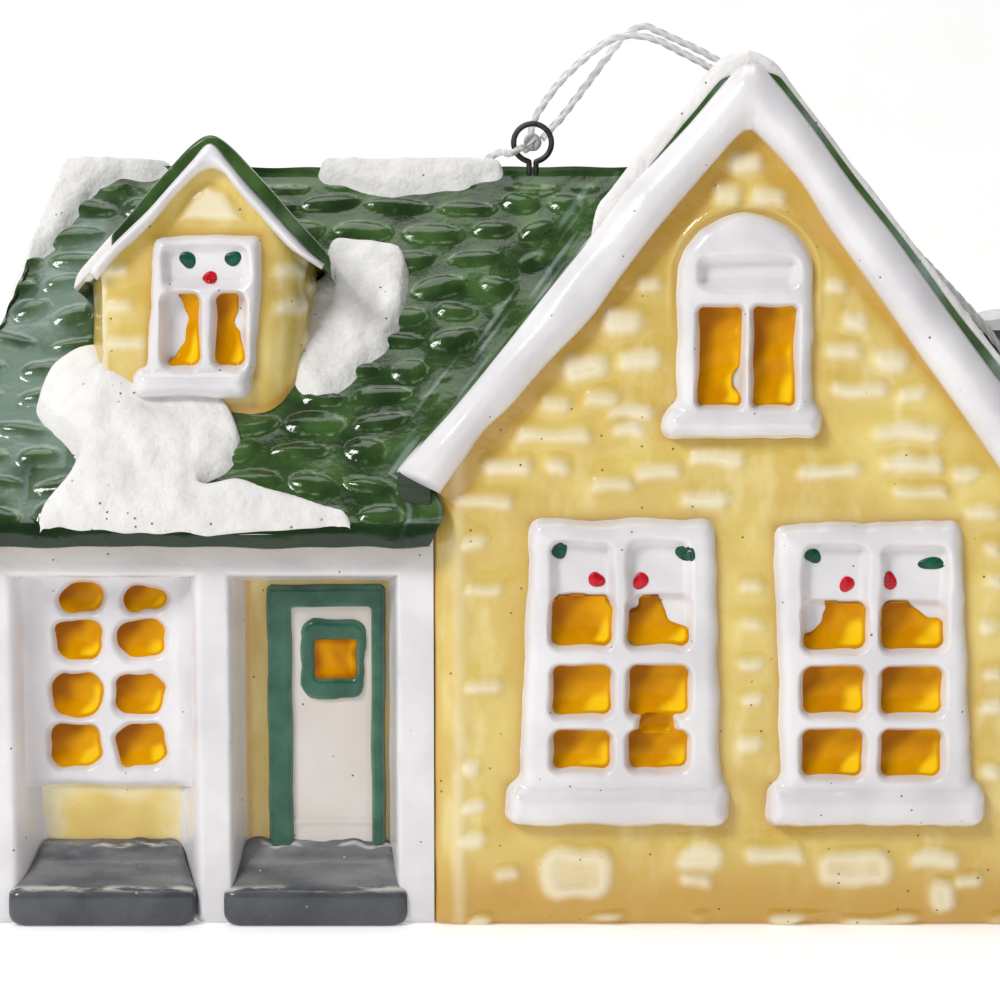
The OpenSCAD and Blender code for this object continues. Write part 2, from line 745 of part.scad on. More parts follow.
module attic_window_frame() {
  color("whitesmoke") difference() {
    union() {
      along_y(front - frame_d, front) intersection() {
        translate([attic_side[0], attic_sill[2] + 1]) square([attic_side[1] - attic_side[0], 30]);
        union() {
          translate([gable_cx, attic_top - attic_r]) circle(attic_r);
          translate([0, attic_sill[2]]) square([50, attic_top - attic_r - attic_sill[2]]);
        }
      }
      sill(attic_sill, front, frame_d + 0.4);
    }
    cut_lights(lights(attic_cols, attic_rows), front);
    cut_blinds([attic_blind], front, frame_d);
  }
}

module attic_window_panes() {
  color("goldenrod") panes(lights(attic_cols, attic_rows), front);
}

module dormer_window_frame() {
  color("whitesmoke") difference() {
    union() {
      along_y(dormer_front - frame_d, dormer_front) soft_outline(dormer_outline, 0.7);
      sill(dormer_sill, dormer_front, frame_d + 0.3);
    }
    cut_lights(lights(dormer_cols, dormer_rows), dormer_front);
    cut_blinds([dormer_blind], dormer_front, frame_d);
  }
}

module dormer_window_panes() {
  color("goldenrod") panes(lights(dormer_cols, dormer_rows), dormer_front);
}

module porch_window_frame() {
  color("whitesmoke") difference() {
    along_y(porch_back - 1, porch_back) polygon(porch_outline);
    cut_lights(lights(porch_cols, porch_rows), porch_back);
  }
}

module porch_window_panes() {
  color("goldenrod") panes(lights(porch_cols, porch_rows), porch_back);
}

module door_frame() {
  color("seagreen") difference() {
    along_y(porch_back - door_proud, porch_back) soft_rect(door_outer, 0.8);
    along_y(porch_back - 5, porch_back + 1) soft_rect(door_leaf_box, 0.7);
    porch_step_right();
  }
}

module door_leaf() {
  color("whitesmoke") difference() {
    along_y(porch_back - leaf_proud, porch_back) soft_rect(door_leaf_box, 0.7);
    porch_step_right();
  }
}

module door_light_frame() {
  color("seagreen") difference() {
    along_y(porch_back - leaf_proud - 0.6, porch_back - leaf_proud) soft_rect(door_light_outer, 1.4);
    along_y(porch_back - 5, porch_back) soft_rect(door_light_box, 0.8);
  }
}

module door_light_pane() {
  color("goldenrod") along_y(porch_back - leaf_proud - 0.3, porch_back - leaf_proud)
    soft_rect(door_light_box, 0.8);
}

// Painted dots standing on the floor of the blind lights
module dots(spots, d, face) {
  floor_y = face - frame_d + blind_d;
  for (s = spots) translate([0, floor_y, 0]) rotate([90, 0, 0]) translate([s[0], s[1], 0])
    cylinder(d1 = d, d2 = d * 0.7, h = dot_t);
}

module holly_leaf_dots() {
  color("darkcyan") {
    dots(leaf_spots, leaf_d, front);
    dots(dormer_leaf_spots, leaf_d, dormer_front);
  }
}

module berry_dots() {
  color("crimson") {
    dots(berry_spots, berry_d, front);
    dots(dormer_berry_spots, berry_d, dormer_front);
  }
}

module chimney_stack() {
  color("lightgray") difference() {
    translate([chimney_x[0], chimney_y[0], 30])
      cube([chimney_x[1] - chimney_x[0], chimney_y[1] - chimney_y[0], chimney_top - 30]);
    gable_under(0);
  }
}

// A flat cushion of snow with a domed top
module chimney_snow() {
  dome_r = 9.2;
  middle = [(chimney_x[0] + chimney_x[1]) / 2, (chimney_y[0] + chimney_y[1]) / 2];
  color("white") translate([0, 0, chimney_top]) intersection() {
    linear_extrude(2) soft_rect([chimney_x[0] - 0.5, x_right - 0.1, chimney_y[0] - 0.6,
      chimney_y[1] + 0.6], 1.4);
    translate([middle[0], middle[1], 1.8 - dome_r]) sphere(dome_r);
  }
}

// Snow along the gable's ridge on one of its slopes
module gable_snow(x0, x1) {
  color("white") difference() {
    intersection() {
      plan_prism(closed_curve(gable_snow_outline, 3));
      translate([x0, roof_front, 0]) cube([x1 - x0, rear_hip_y - roof_front, far]);
      gable_under(gable_snow_t);
    }
    gable_under(0);
    chimney_stack();
  }
}

module gable_snow_left() {
  gable_snow(eave_l, gable_cx);
}

module gable_snow_right() {
  gable_snow(gable_cx, x_right);
}

module ridge_snow() {
  color("white") wing_snow(ridge_snow_outline, ridge_snow_t);
}

module corner_snow() {
  color("white") wing_snow(corner_snow_outline, ridge_snow_t);
}

module snow_drift_left() {
  color("white") difference() {
    wing_snow(drift_left_outline, snow_t);
    dormer_seat();
    dormer_window_frame();
  }
}

module snow_drift_right() {
  color("white") wing_snow(drift_right_outline, snow_t);
}

module hanger_eye() {
  color("dimgray") {
    translate(eye) rotate([90, 0, 0]) rotate_extrude() translate([eye_r, 0]) circle(d = wire_d);
    eye_legs(wire_d);
  }
}

module cord_knot() {
  color("silver") {
    translate([eye[0], knot_y, eye[2]]) intersection() {
      rotate([90, 0, 0]) cylinder(r = knot_r, h = 2 * knot_r, center = true);
      sphere(knot_r * 1.25);
    }
    tube(open_curve(tail_route, 3), cord_d, [0, 0, 1]);
  }
}

module hanger_cord() {
  color("silver") tube(concat(loop_out, loop_end, loop_back), cord_d, [0.13, 0.98, 0.15]);
}

base_plate();
front_gable_wall();
gable_right_wall();
gable_left_wall();
gable_rear_wall();
wing_end_wall();
wing_rear_wall();
porch_back_wall();
porch_post_left();
porch_post_middle();
porch_post_right();
porch_lintel();
porch_step_left();
porch_step_right();
front_roof_slope();
rear_roof_slope();
hip_roof_end();
gable_roof_left();
gable_roof_right();
gable_roof_rear();
gable_trim_left();
gable_trim_right();
dormer_walls();
dormer_roof_left();
dormer_roof_right();
dormer_trim_left();
dormer_trim_right();
left_window_frame();
left_window_panes();
right_window_frame();
right_window_panes();
attic_window_frame();
attic_window_panes();
dormer_window_frame();
dormer_window_panes();
porch_window_frame();
porch_window_panes();
door_frame();
door_leaf();
door_light_frame();
door_light_pane();
holly_leaf_dots();
berry_dots();
chimney_stack();
chimney_snow();
gable_snow_left();
gable_snow_right();
ridge_snow();
corner_snow();
snow_drift_left();
snow_drift_right();
hanger_eye();
cord_knot();
hanger_cord();
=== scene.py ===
import bpy
import numpy as np
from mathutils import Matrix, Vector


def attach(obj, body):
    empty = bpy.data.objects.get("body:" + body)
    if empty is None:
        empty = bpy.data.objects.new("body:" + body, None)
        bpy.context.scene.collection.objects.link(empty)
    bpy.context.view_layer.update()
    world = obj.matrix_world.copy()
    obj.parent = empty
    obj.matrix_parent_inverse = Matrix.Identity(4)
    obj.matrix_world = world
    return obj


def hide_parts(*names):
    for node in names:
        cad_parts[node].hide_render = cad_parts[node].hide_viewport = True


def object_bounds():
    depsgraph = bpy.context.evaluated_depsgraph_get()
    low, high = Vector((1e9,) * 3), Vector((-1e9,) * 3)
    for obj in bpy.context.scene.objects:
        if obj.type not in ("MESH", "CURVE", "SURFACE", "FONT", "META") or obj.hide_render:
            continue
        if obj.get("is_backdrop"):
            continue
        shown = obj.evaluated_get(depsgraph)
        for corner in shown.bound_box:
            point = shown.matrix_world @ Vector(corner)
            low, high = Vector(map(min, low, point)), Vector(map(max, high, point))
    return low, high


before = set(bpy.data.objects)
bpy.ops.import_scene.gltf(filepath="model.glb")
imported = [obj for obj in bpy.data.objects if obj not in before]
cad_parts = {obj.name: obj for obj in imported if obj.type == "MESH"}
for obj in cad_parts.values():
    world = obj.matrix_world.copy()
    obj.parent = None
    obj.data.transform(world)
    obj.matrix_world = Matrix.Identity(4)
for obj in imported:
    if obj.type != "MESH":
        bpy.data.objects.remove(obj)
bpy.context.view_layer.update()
scene = bpy.context.scene

# The camera stands in front of the house and looks slightly down on it, with a long lens.
# Its place and angle follow the photograph, where both roof ends run out of the picture.
camera = bpy.data.objects.new("camera", bpy.data.cameras.new("camera"))
camera.data.lens = 120
camera.data.sensor_width = 36
camera.data.clip_start = 0.01
camera.location = (0, -0.31908, 0.08109)
camera.rotation_euler = (np.radians(82), 0, 0)
scene.collection.objects.link(camera)
scene.camera = camera

# The hanging loop is a thin clear cord of three twisted strands, doubled and tied at the wire eye.
# It leaves the knot, arches over the gable, lies down the right slope and comes back.
loop_route = [
    (2.9, 2.7, 70.7), (3, 2.7, 71.7), (3.4, 2.6, 72.9), (4.3, 2.5, 74.4), (6, 2.4, 76.6), (8.6, 2.2, 79),
    (10.6, 2.1, 80.3), (12.2, 2.1, 80.7), (13.8, 2.2, 80.6), (15.4, 2.6, 80.1), (17, 3.3, 79.3),
    (19, 4.1, 78.3), (21, 4.7, 77.3), (24, 4.9, 76.4), (26.5, 4.6, 74.6), (29, 4.1, 71.8), (34, 3, 65.9),
    (40, 2, 59.8), (45.4, 1.4, 54.3), (48.2, 1, 50.9), (50, 0.5, 48.1), (51.2, 0.3, 45.6), (51.7, 0.8, 44.2),
    (51.9, 1.7, 43.5), (51.7, 2.5, 44.2), (51.2, 2.9, 45.6), (50, 2.9, 48.1), (48.3, 2.6, 51),
    (45.5, 2.6, 54.4), (40.1, 3, 60.1), (34.1, 4.1, 66.3), (29.1, 5.2, 71.7), (26.6, 5.8, 74.3),
    (24.2, 6.1, 76.2), (21.4, 6, 78.1), (19, 5.4, 79.4), (17, 4.8, 80.3), (15.2, 4.3, 81.1), (13.6, 4, 81.6),
    (11.9, 3.9, 80.6), (10.3, 3.8, 78.7), (8.9, 3.8, 76.8), (7.3, 3.8, 74.7), (6, 3.7, 73), (5.1, 3.5, 72),
    (4.1, 2.8, 70.9)]
mm = 0.001
cord_r, cord_gap, lay_length, strands = 0.35, 0.16, 1.5, 3


def curve(points, steps, closed=False):
    """Catmull-Rom curve: each piece is the cubic through two points, along the chords of their neighbours."""
    p = np.asarray(points, float)
    p = np.concatenate([p[-1:], p, p[:2]] if closed else [p[:1], p, p[-1:]])
    t = (np.arange(steps) / steps)[None, :, None]
    a, b, c, d = (p[i:len(p) - 3 + i, None] for i in range(4))
    line = 0.5 * (2 * b + (c - a) * t + (2 * a - 5 * b + 4 * c - d) * t ** 2
                  + (3 * b - a - 3 * c + d) * t ** 3)
    line = line.reshape(-1, p.shape[1])
    return line if closed else np.concatenate([line, p[-1:]])


def run_of(line):
    """Distance along a line at each of its points."""
    return np.r_[0, np.cumsum(np.linalg.norm(np.diff(line, axis=0), axis=1))]


def heading(line):
    """Direction along a line at each of its points, of length 1."""
    ahead = np.gradient(line, axis=0)
    return ahead / np.linalg.norm(ahead, axis=1)[:, None]


def even(line, gap):
    """The same line with points a fixed gap apart, measured along it."""
    run = run_of(line)
    places = np.linspace(0, run[-1], max(2, int(round(run[-1] / gap)) + 1))
    return np.stack([np.interp(places, run, line[:, k]) for k in range(line.shape[1])], 1)


def at(x, y, z):
    """Points from arrays of their coordinates."""
    return np.stack(np.broadcast_arrays(x, y, z), -1)


def strand(line, radius, sides, lobes=0):
    """Rings round a line, on axes carried along untwisted. With lobes, the radius is multiplied by
    0.93 + 0.13 cos(lobes x angle - turn), where the turn is one round in each lay length."""
    ahead = heading(line)
    aside = np.empty_like(line)
    last = np.array([0.31, 0.95, 0.05])
    for i, t in enumerate(ahead):
        last = last - t * (last @ t)
        last = last / np.linalg.norm(last)
        aside[i] = last
    above = np.cross(ahead, aside)
    angle = np.linspace(0, 2 * np.pi, sides, endpoint=False)
    lobe = np.cos(lobes * angle - 2 * np.pi / lay_length * run_of(line)[:, None])
    r = (radius * (0.93 + 0.13 * lobe if lobes else np.ones(lobe.shape)))[..., None]
    c, s = np.cos(angle)[:, None], np.sin(angle)[:, None]
    return line[:, None] + r * (c * aside[:, None] + s * above[:, None]), lobe


def shell(rings):
    """Skin through closed rings of points, with an end face on the first and the last ring."""
    n, m = rings.shape[:2]
    a = (np.arange(n - 1)[:, None] * m + np.arange(m)).ravel()
    b = (np.arange(n - 1)[:, None] * m + (np.arange(m) + 1) % m).ravel()
    ends = [np.arange(m)[::-1], np.arange(m) + (n - 1) * m]
    return rings.reshape(-1, 3), np.stack([a, b, b + m, a + m], 1), ends


def solid(name, shells, paint=None, sharp=50):
    """One mesh of closed shells given in mm; a shell whose signed volume is negative is turned outward."""
    points, corners, sizes, first = [], [], [], 0
    for place, quads, ends in shells:
        fans = [np.stack([np.full(len(e) - 2, e[0]), e[1:-1], e[2:]], 1) for e in ends]
        a, b, c = place[np.concatenate([quads[:, :3], quads[:, [0, 2, 3]], *fans])].transpose(1, 0, 2)
        turn = -1 if np.einsum("ij,ij", a, np.cross(b, c)) < 0 else 1
        corners += [quads[:, ::turn].ravel() + first] + [e[::turn] + first for e in ends]
        sizes += [np.full(len(quads), 4), np.array([len(e) for e in ends], int)]
        points.append(place)
        first += len(place)
    points, sizes = np.concatenate(points), np.concatenate(sizes)
    used, corners = np.unique(np.concatenate(corners), return_inverse=True)
    mesh = bpy.data.meshes.new(name)
    mesh.vertices.add(len(used))
    mesh.vertices.foreach_set("co", (points[used] * mm).astype(np.float32).ravel())
    mesh.loops.add(len(corners))
    mesh.loops.foreach_set("vertex_index", corners.ravel().astype(np.int32))
    mesh.polygons.add(len(sizes))
    mesh.polygons.foreach_set("loop_start", (np.cumsum(sizes) - sizes).astype(np.int32))
    mesh.polygons.foreach_set("use_smooth", np.ones(len(sizes), bool))
    mesh.update(calc_edges=True)
    for key, value in (paint or {}).items():
        layer = mesh.attributes.new(key, "FLOAT", "POINT")
        layer.data.foreach_set("value", np.asarray(value, np.float32).ravel()[used])
    mesh.set_sharp_from_angle(angle=np.radians(sharp))
    piece = bpy.data.objects.new(name, mesh)
    scene.collection.objects.link(piece)
    return piece


def fit(piece, material, node, body="house"):
    """Gives a piece its finish and its body, and puts it in the place of its CAD node."""
    piece.data.materials.append(material)
    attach(piece, body)
    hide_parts(node)
    return piece


def tone(r, g, b):
    """Linear colour of an 8-bit sRGB colour."""
    c = np.array([r, g, b]) / 255
    return (*np.where(c < 0.04045, c / 12.92, ((c + 0.055) / 1.055) ** 2.4).tolist(), 1.0)


class Val:
    """A shader value for Python expressions: each operator adds a Math node."""

    def __init__(self, tree, socket=None):
        self.tree, self.socket = tree, socket

    def node(self, kind, settings=None, sockets=None, out=0):
        """Adds a node: settings first, then each socket gets a value or a link; gives the output numbered."""
        made = self.tree.nodes.new("ShaderNode" + kind)
        for key, value in (settings or {}).items():
            setattr(made, key, value)
        for key, value in (sockets or {}).items():
            if isinstance(value, Val):
                self.tree.links.new(value.socket, made.inputs[key])
            else:
                made.inputs[key].default_value = value
        return Val(self.tree, made.outputs[out])

    def math(self, operation, a, b):
        return self.node("Math", {"operation": operation}, {0: a, 1: b})

    def __add__(self, other):
        return self.math("ADD", self, other)

    def __sub__(self, other):
        return self.math("SUBTRACT", self, other)

    def __rsub__(self, other):
        return self.math("SUBTRACT", other, self)

    def __mul__(self, other):
        return self.math("MULTIPLY", self, other)

    __radd__, __rmul__ = __add__, __mul__

    def rise(self, low, high):
        """0 below low, 1 above high, and a smooth step between."""
        return self.node("MapRange", {"interpolation_type": "SMOOTHSTEP"},
                         {"Value": self, "From Min": low, "From Max": high})

    def blend(self, first, second):
        """The first colour where this value is 0, the second where it is 1; a plain colour is 8-bit sRGB."""
        first, second = (c if isinstance(c, Val) else tone(*c) for c in (first, second))
        return self.node("Mix", {"data_type": "RGBA"}, {0: self, 6: first, 7: second}, out=2)

    def mark(self, name):
        """The value painted on the mesh under this name."""
        return self.node("Attribute", {"attribute_name": name}, out=2)

    def stretch(self, *scale):
        """This place with its axes scaled."""
        return self.node("Mapping", None, {"Vector": self, "Scale": scale})

    def noise(self, scale, detail=3.0):
        """Cloudy noise at this place."""
        return self.node("TexNoise", None, {"Vector": self, "Scale": scale, "Detail": detail})

    def specks(self, scale, size, share):
        """1 in small round dots, in the middles of that share of the cells of a Voronoi pattern."""
        sockets = {"Vector": self, "Scale": scale}
        near = self.node("TexVoronoi", None, sockets)
        lot = self.node("SeparateColor", None, {0: self.node("TexVoronoi", None, sockets, out=1)})
        return (1 - near.rise(size * 0.5, size)) * (1 - lot.rise(share, share + 0.01))


def finish(name, slot=None, **fixed):
    """A material of its own name, whose shader has these fixed values. The slot argument is not used.
    Gives the material, its shader and its Object coordinates."""
    material = bpy.data.materials.new(name)
    material.use_nodes = True
    shader = material.node_tree.nodes["Principled BSDF"]
    for key, value in fixed.items():
        shader.inputs[key.replace("_", " ")].default_value = value
    return material, shader, Val(material.node_tree).node("TexCoord", out=3)


def feed(shader, **values):
    """Links values to the shader's sockets; Height goes through a Bump node of the given depth in metres."""
    for key, value in values.items():
        if key == "Height":
            height, depth = value
            sockets = {"Strength": 1.0, "Distance": depth, "Height": height}
            key, value = "Normal", height.node("Bump", None, sockets)
        value.tree.links.new(value.socket, shader.inputs[key.replace("_", " ")])


clear_cord, shader, place = finish("clear_cord", "cord", Roughness=0.16, IOR=1.45, Transmission_Weight=0.55)
# The cord is painted darker in the grooves between its strands and lighter on their crests: painted shade and
# painted highlight.
feed(shader, Base_Color=place.mark("strand").rise(-0.9, 0.7).blend((234, 234, 234), (253, 253, 253)),
     Height=(place.noise(5200.0), 0.00003))


def twisted(name, line, node, body):
    """A length of the cord along a line."""
    rings, lobe = strand(line, cord_r, 12, strands)
    return fit(solid(name, [shell(rings)], {"strand": lobe}, 80), clear_cord, node, body)


loop_line = even(curve(loop_route, 8), cord_gap)
loop = twisted("hanging_loop_cord", loop_line, "hanger_cord", "hanging_loop")

# The knot holds the loop to the eye: the same cord wound three times about itself.
# Its loose end goes once round the wire and down behind the ridge.
eye_x, eye_z, knot_r, knot_turns = 3.1, 70.6, 0.52, 3.15
turn = np.linspace(0, 2 * knot_turns * np.pi, 90)
wound = at(eye_x + knot_r * np.cos(turn), np.linspace(2.5, 0.95, 90), eye_z + knot_r * np.sin(turn))
tail = [(2.5, 0.75, 69.85), (2.25, 0, 70.15), (1.5, -0.85, 69.85), (0.72, -0.05, 69.55), (0.4, 0.9, 69.7),
        (-0.6, 1.6, 69.4), (-1.6, 2.3, 68.5), (-2.4, 3, 67.3)]
knot_line = even(np.concatenate([wound, curve(tail, 8)]), cord_gap)
knot = twisted("cord_knot_and_tail", knot_line, "cord_knot", "house")

# The eye is a bent length of kiln wire, its two legs fired into the ridge.
# The firing has left it dark, scaled and a little rough.
eye_r, wire_r, leg_x, leg_gap = 1.8, 0.27, 2.77, 0.66
angle = np.radians(np.linspace(-100.6, -439.4, 72))
leg = at(leg_x, 0, np.linspace(64, 68.6, 12))
ring_line = at(eye_x + eye_r * np.cos(angle), 0, eye_z + eye_r * np.sin(angle))
wire_line = np.concatenate([leg, ring_line, leg[::-1] + (leg_gap, 0, 0)])
kiln_wire, shader, place = finish("kiln_wire", "wire", IOR=2.2, Metallic=0.7)
scale = place.noise(1500.0, 5.0)
feed(shader, Base_Color=scale.rise(0.35, 0.65).blend((24, 23, 21), (66, 60, 54)),
     Roughness=0.35 + 0.3 * scale, Height=(scale, 0.00006))
wire_rings = strand(even(wire_line, 0.15), wire_r, 14)[0]
fit(solid("wire_eye", [shell(wire_rings)], None, 80), kiln_wire, "hanger_eye")

# The front gable wall is slip-cast earthenware with bricks in low relief under a yellow glaze.
# The glaze breaks pale over the bricks and pools darker along the frames and the trim; the same darker ochre
# is painted shade under the bricks, toward the foot and at the wall's edges.
# Each brick is (x, z, half width, half height); the wall is sunk where a frame or a sill covers it.
gable_l, gable_r, gable_cx, front = -6.025, 49.975, 21.975, -22.0
gable_slope, peak_h, wall_thick = 1.2131, 78.4, 3
roof_drop, trim_drop, trim_wide = 3.2, 1.1, 4.2
front_bricks = [(21.8, 69.4, 1.3, .7), (20.2, 66.8, 1.2, .7), (24, 66.5, 1.3, .7), (13.4, 58.8, .8, .4),
                (11.1, 55.4, 1.6, .9), (12.4, 52, 1.6, .8), (7.7, 51.3, 1.9, 1), (9.1, 48.4, 1.3, .5),
                (11.8, 47.4, 1.8, .5), (4.8, 48, 1.2, .5), (11.5, 45.6, 1.1, .6), (4.8, 45.2, 3.2, .5),
                (19.5, 43.2, 2.3, .5), (.7, 42.3, 1.8, .6), (5.2, 42.3, .9, .6), (10.1, 40.8, 1.8, .5),
                (14.3, 41.9, 1.8, .6), (-1.4, 39.2, 2.4, .4), (18.3, 39.4, 2.1, .6), (29.9, 58.6, .8, .5),
                (31.7, 55.4, 1.1, .6), (30.8, 52.9, 1.3, .6), (34.9, 51.8, 1.3, .7), (32.1, 49.3, 2.1, .5),
                (37.1, 48.8, 1.2, .5), (36.6, 45.6, 2.9, .6), (29.3, 41.9, 2.5, .5), (37, 42.6, 2.7, .6),
                (41.9, 41.8, .9, .5), (37.9, 40, 2.1, .4), (43.3, 38.2, 1.3, .4), (-2.3, 35.3, 1, .5),
                (-1.4, 31.1, 1.6, .3), (-1.5, 22.2, 1.5, .4), (-2.7, 14.7, .7, .7), (-2.4, 11.1, 1, .5),
                (-2.7, 8, 1, .5), (.5, 4.7, 1, .4), (22.6, 31.4, 1, .4), (22.8, 28, .7, .4),
                (22.6, 24.4, 1, .4), (22.9, 21.2, .8, .4), (22.7, 16.9, 1.1, .5), (44.4, 34.9, .7, .5),
                (44.4, 31.9, .7, .5), (44.5, 27.8, .7, .5), (44.6, 23.4, .7, .4), (44.6, 20.2, .7, .5),
                (44.8, 14.3, .7, .5), (7, 4.8, 3.1, 2.3), (18.2, 6.3, 2, 1), (18, 4.3, 1.3, .5),
                (25, 6.6, 2.5, .6), (32.4, 5.3, 3.4, 1.5), (39.7, 6.2, 2.3, .7), (42.8, 4.1, 1, .4),
                (40.5, 2.9, 1, 1.3)]
left_outline, left_sill = [(1.9, 12.6), (20, 12.6), (19.2, 37.5), (2.8, 37.4)], (0.7, 20.7, 9.5, 13.2)
right_outline, right_sill = [(25.8, 12.6), (42.9, 12.6), (41.4, 37.4), (24.8, 37)], (24.4, 44, 9.4, 13.2)
arch = np.radians(np.linspace(15, 165, 25))
attic_outline = [(16, 46), (27.8, 46), *zip(21.9 + 6.1 * np.cos(arch), 58.9 + 6.1 * np.sin(arch))]
attic_sill = (14.6, 28.8, 45.1, 47.6)


def unit_grid(across, up):
    """Two arrays that run from 0 to 1, one across a grid and one up it."""
    return np.meshgrid(np.linspace(0, 1, across), np.linspace(0, 1, up))


def ramp(d, low, high):
    """Smooth step from 0 at low to 1 at high."""
    t = np.clip((d - low) / (high - low), 0, 1)
    return t * t * (3 - 2 * t)


def dome(d, r):
    """Quarter circle: 0 at the edge, 1 from the distance r inwards."""
    t = np.clip(d / r, 0, 1)
    return np.sqrt(1 - (1 - t) ** 2)


def stain(d, reach):
    """1 up to an edge, and from there the exponential of the distance over the reach, falling."""
    return np.exp(-np.clip(d, 0, 9) / reach)


def bump(d, half):
    """Bell curve of the distance: the exponential of minus the square of d over half."""
    return np.exp(-(d / half) ** 2)


def in_box(x, z, box, r):
    """Distance inside the box (x0, x1, z0, z1) with corners of radius r, negative outside."""
    qx = np.abs(x - (box[0] + box[1]) / 2) - (box[1] - box[0]) / 2 + r
    qz = np.abs(z - (box[2] + box[3]) / 2) - (box[3] - box[2]) / 2 + r
    return r - np.hypot(np.maximum(qx, 0), np.maximum(qz, 0)) - np.minimum(np.maximum(qx, qz), 0)


def in_outline(x, z, outline):
    """Distance to the nearest side of a closed outline, positive inside, by counting the sides crossed."""
    near, inside = np.full(x.shape, 1e9), np.zeros(x.shape, bool)
    for (ax, az), (bx, bz) in zip(outline, [*outline[1:], outline[0]]):
        dx, dz = bx - ax, bz - az
        along = np.clip(((x - ax) * dx + (z - az) * dz) / (dx ** 2 + dz ** 2 + 1e-12), 0, 1)
        near = np.minimum(near, np.hypot(x - ax - along * dx, z - az - along * dz))
        inside ^= ((az > z) != (bz > z)) & (x < ax + (z - az) * dx / (dz + 1e-12))
    return np.where(inside, near, -near)


def wave(x, z, seed, pitch):
    """Soft unevenness of about -1 to 1: the mean of seven sine waves of about that pitch."""
    rng = np.random.default_rng(seed)
    way, phase = rng.uniform(0, 2 * np.pi, 7), rng.uniform(0, 2 * np.pi, 7)
    k = 2 * np.pi / pitch * rng.uniform(0.6, 1.5, 7)
    waves = (np.sin(k[i] * (x * np.cos(way[i]) + z * np.sin(way[i])) + phase[i]) for i in range(7))
    return 1.6 * sum(waves) / 7


def bricks(x, z, stones):
    """Height of stones: 1 on a stone, with a soft shoulder round it and a lower middle on large ones."""
    high = np.zeros(x.shape)
    for sx, sz, a, b in stones:
        spot = (np.abs(x - sx) < a + 2.5) & (np.abs(z - sz) < b + 2.5)
        d = in_box(x[spot], z[spot], (sx - a, sx + a, sz - b, sz + b), 0.8 * min(a, b))
        stone = 0.8 * ramp(d, -0.8, 0.7) + 0.2 * ramp(d, -2.2, 0) - 0.3 * ramp(d, 0.5, 1.5)
        high[spot] = np.maximum(high[spot], stone)
    return high


def glazed(node, material, face, back, keep=None, part="", sharp=50, **paint):
    """Closed slab in the place of a CAD node, between a grid of face points and the back points behind it.
    keep marks the cells that stay, True for all; without it the back is one face round the border."""
    n, m = face.shape[:2]
    kept = np.ones((n - 1, m - 1), bool) & (keep is None or keep)
    row, col = np.nonzero(kept)
    a = row * m + col
    quads, ends = [np.stack([a, a + 1, a + 1 + m, a + m], 1)], []
    if keep is None:
        right, left = np.arange(1, n) * m + m - 1, np.arange(n - 2, 0, -1) * m
        top = (n - 1) * m + np.arange(m - 2, -1, -1)
        ends = [np.r_[0:m, right, top, left][::-1] + n * m]
    else:
        quads.append(quads[0][:, ::-1] + n * m)
    rim = np.pad(kept, 1)
    for near, p, q in ((rim[:-2, 1:-1], 0, 1), (rim[1:-1, 2:], 1, 1 + m),
                       (rim[2:, 1:-1], 1 + m, m), (rim[1:-1, :-2], m, 0)):
        row, col = np.nonzero(kept & ~near)
        a = row * m + col
        quads.append(np.stack([a + q, a + p, a + p + n * m, a + q + n * m], 1))
    points = np.concatenate([face.reshape(-1, 3), back.reshape(-1, 3)])
    paint = {key: np.tile(value.ravel(), 2) for key, value in paint.items()}
    fit(solid(node + part + "_glazed", [(points, np.concatenate(quads), ends)], paint, sharp), material, node)


def cells(mask):
    """Cells of a grid with any corner in the mask."""
    return mask[1:, 1:] | mask[:-1, 1:] | mask[1:, :-1] | mask[:-1, :-1]


yellow_glaze, shader, place = finish("yellow_glaze", IOR=1.5, Coat_Weight=0.35, Coat_Roughness=0.06)
mottle = place.noise(150.0, 4.0)
streak = place.stretch(1.0, 1.0, 0.4).noise(380.0)
pinhole = place.specks(1100.0, 0.14, 0.13)
colour = mottle.rise(0.32, 0.7).blend((214, 181, 85), (231, 207, 118))
colour = (0.45 * place.noise(55.0, 2.0).rise(0.42, 0.68)).blend(colour, (206, 172, 80))
colour = (0.4 * streak.rise(0.5, 0.75)).blend(colour, (247, 233, 172))
# Darker ochre where the glaze pools, and as painted shade in creases, under things and toward the foot.
colour = (place.mark("pool") * (0.5 + 0.6 * mottle)).rise(0.15, 1.0).blend(colour, (198, 151, 56))
# Pale where the glaze breaks over raised bricks, and as a painted highlight along rounded corners.
pale = (place.mark("crest") * (0.55 + 0.8 * streak)).rise(0.1, 1.05)
colour = (0.8 * pale).blend(colour, (244, 235, 206))
feed(shader, Base_Color=pinhole.blend(colour, (128, 90, 44)), Roughness=0.14 + 0.16 * mottle,
     Height=(place.noise(1300.0) - 1.2 * pinhole + 0.5 * streak, 0.00005))

u, w = unit_grid(250, 320)
x = gable_l + (gable_r - gable_l) * u
below_peak = gable_slope * np.abs(x - gable_cx)
z = (peak_h - roof_drop - below_peak) * w
to_trim = (peak_h - trim_drop - below_peak - z) / np.hypot(1, gable_slope) - trim_wide
edge = np.minimum(x - gable_l, gable_r - x)
openings = ((left_outline, left_sill), (right_outline, right_sill), (attic_outline, attic_sill))
to_frame = np.max([np.maximum(in_outline(x, z, outline), in_box(x, z, sill, 0.5))
                   for outline, sill in openings], 0)
bx, bz = x + 0.35 * wave(x, z, 3, 6), z + 0.24 * wave(x, z, 4, 6)
crest = bricks(bx, bz, front_bricks)
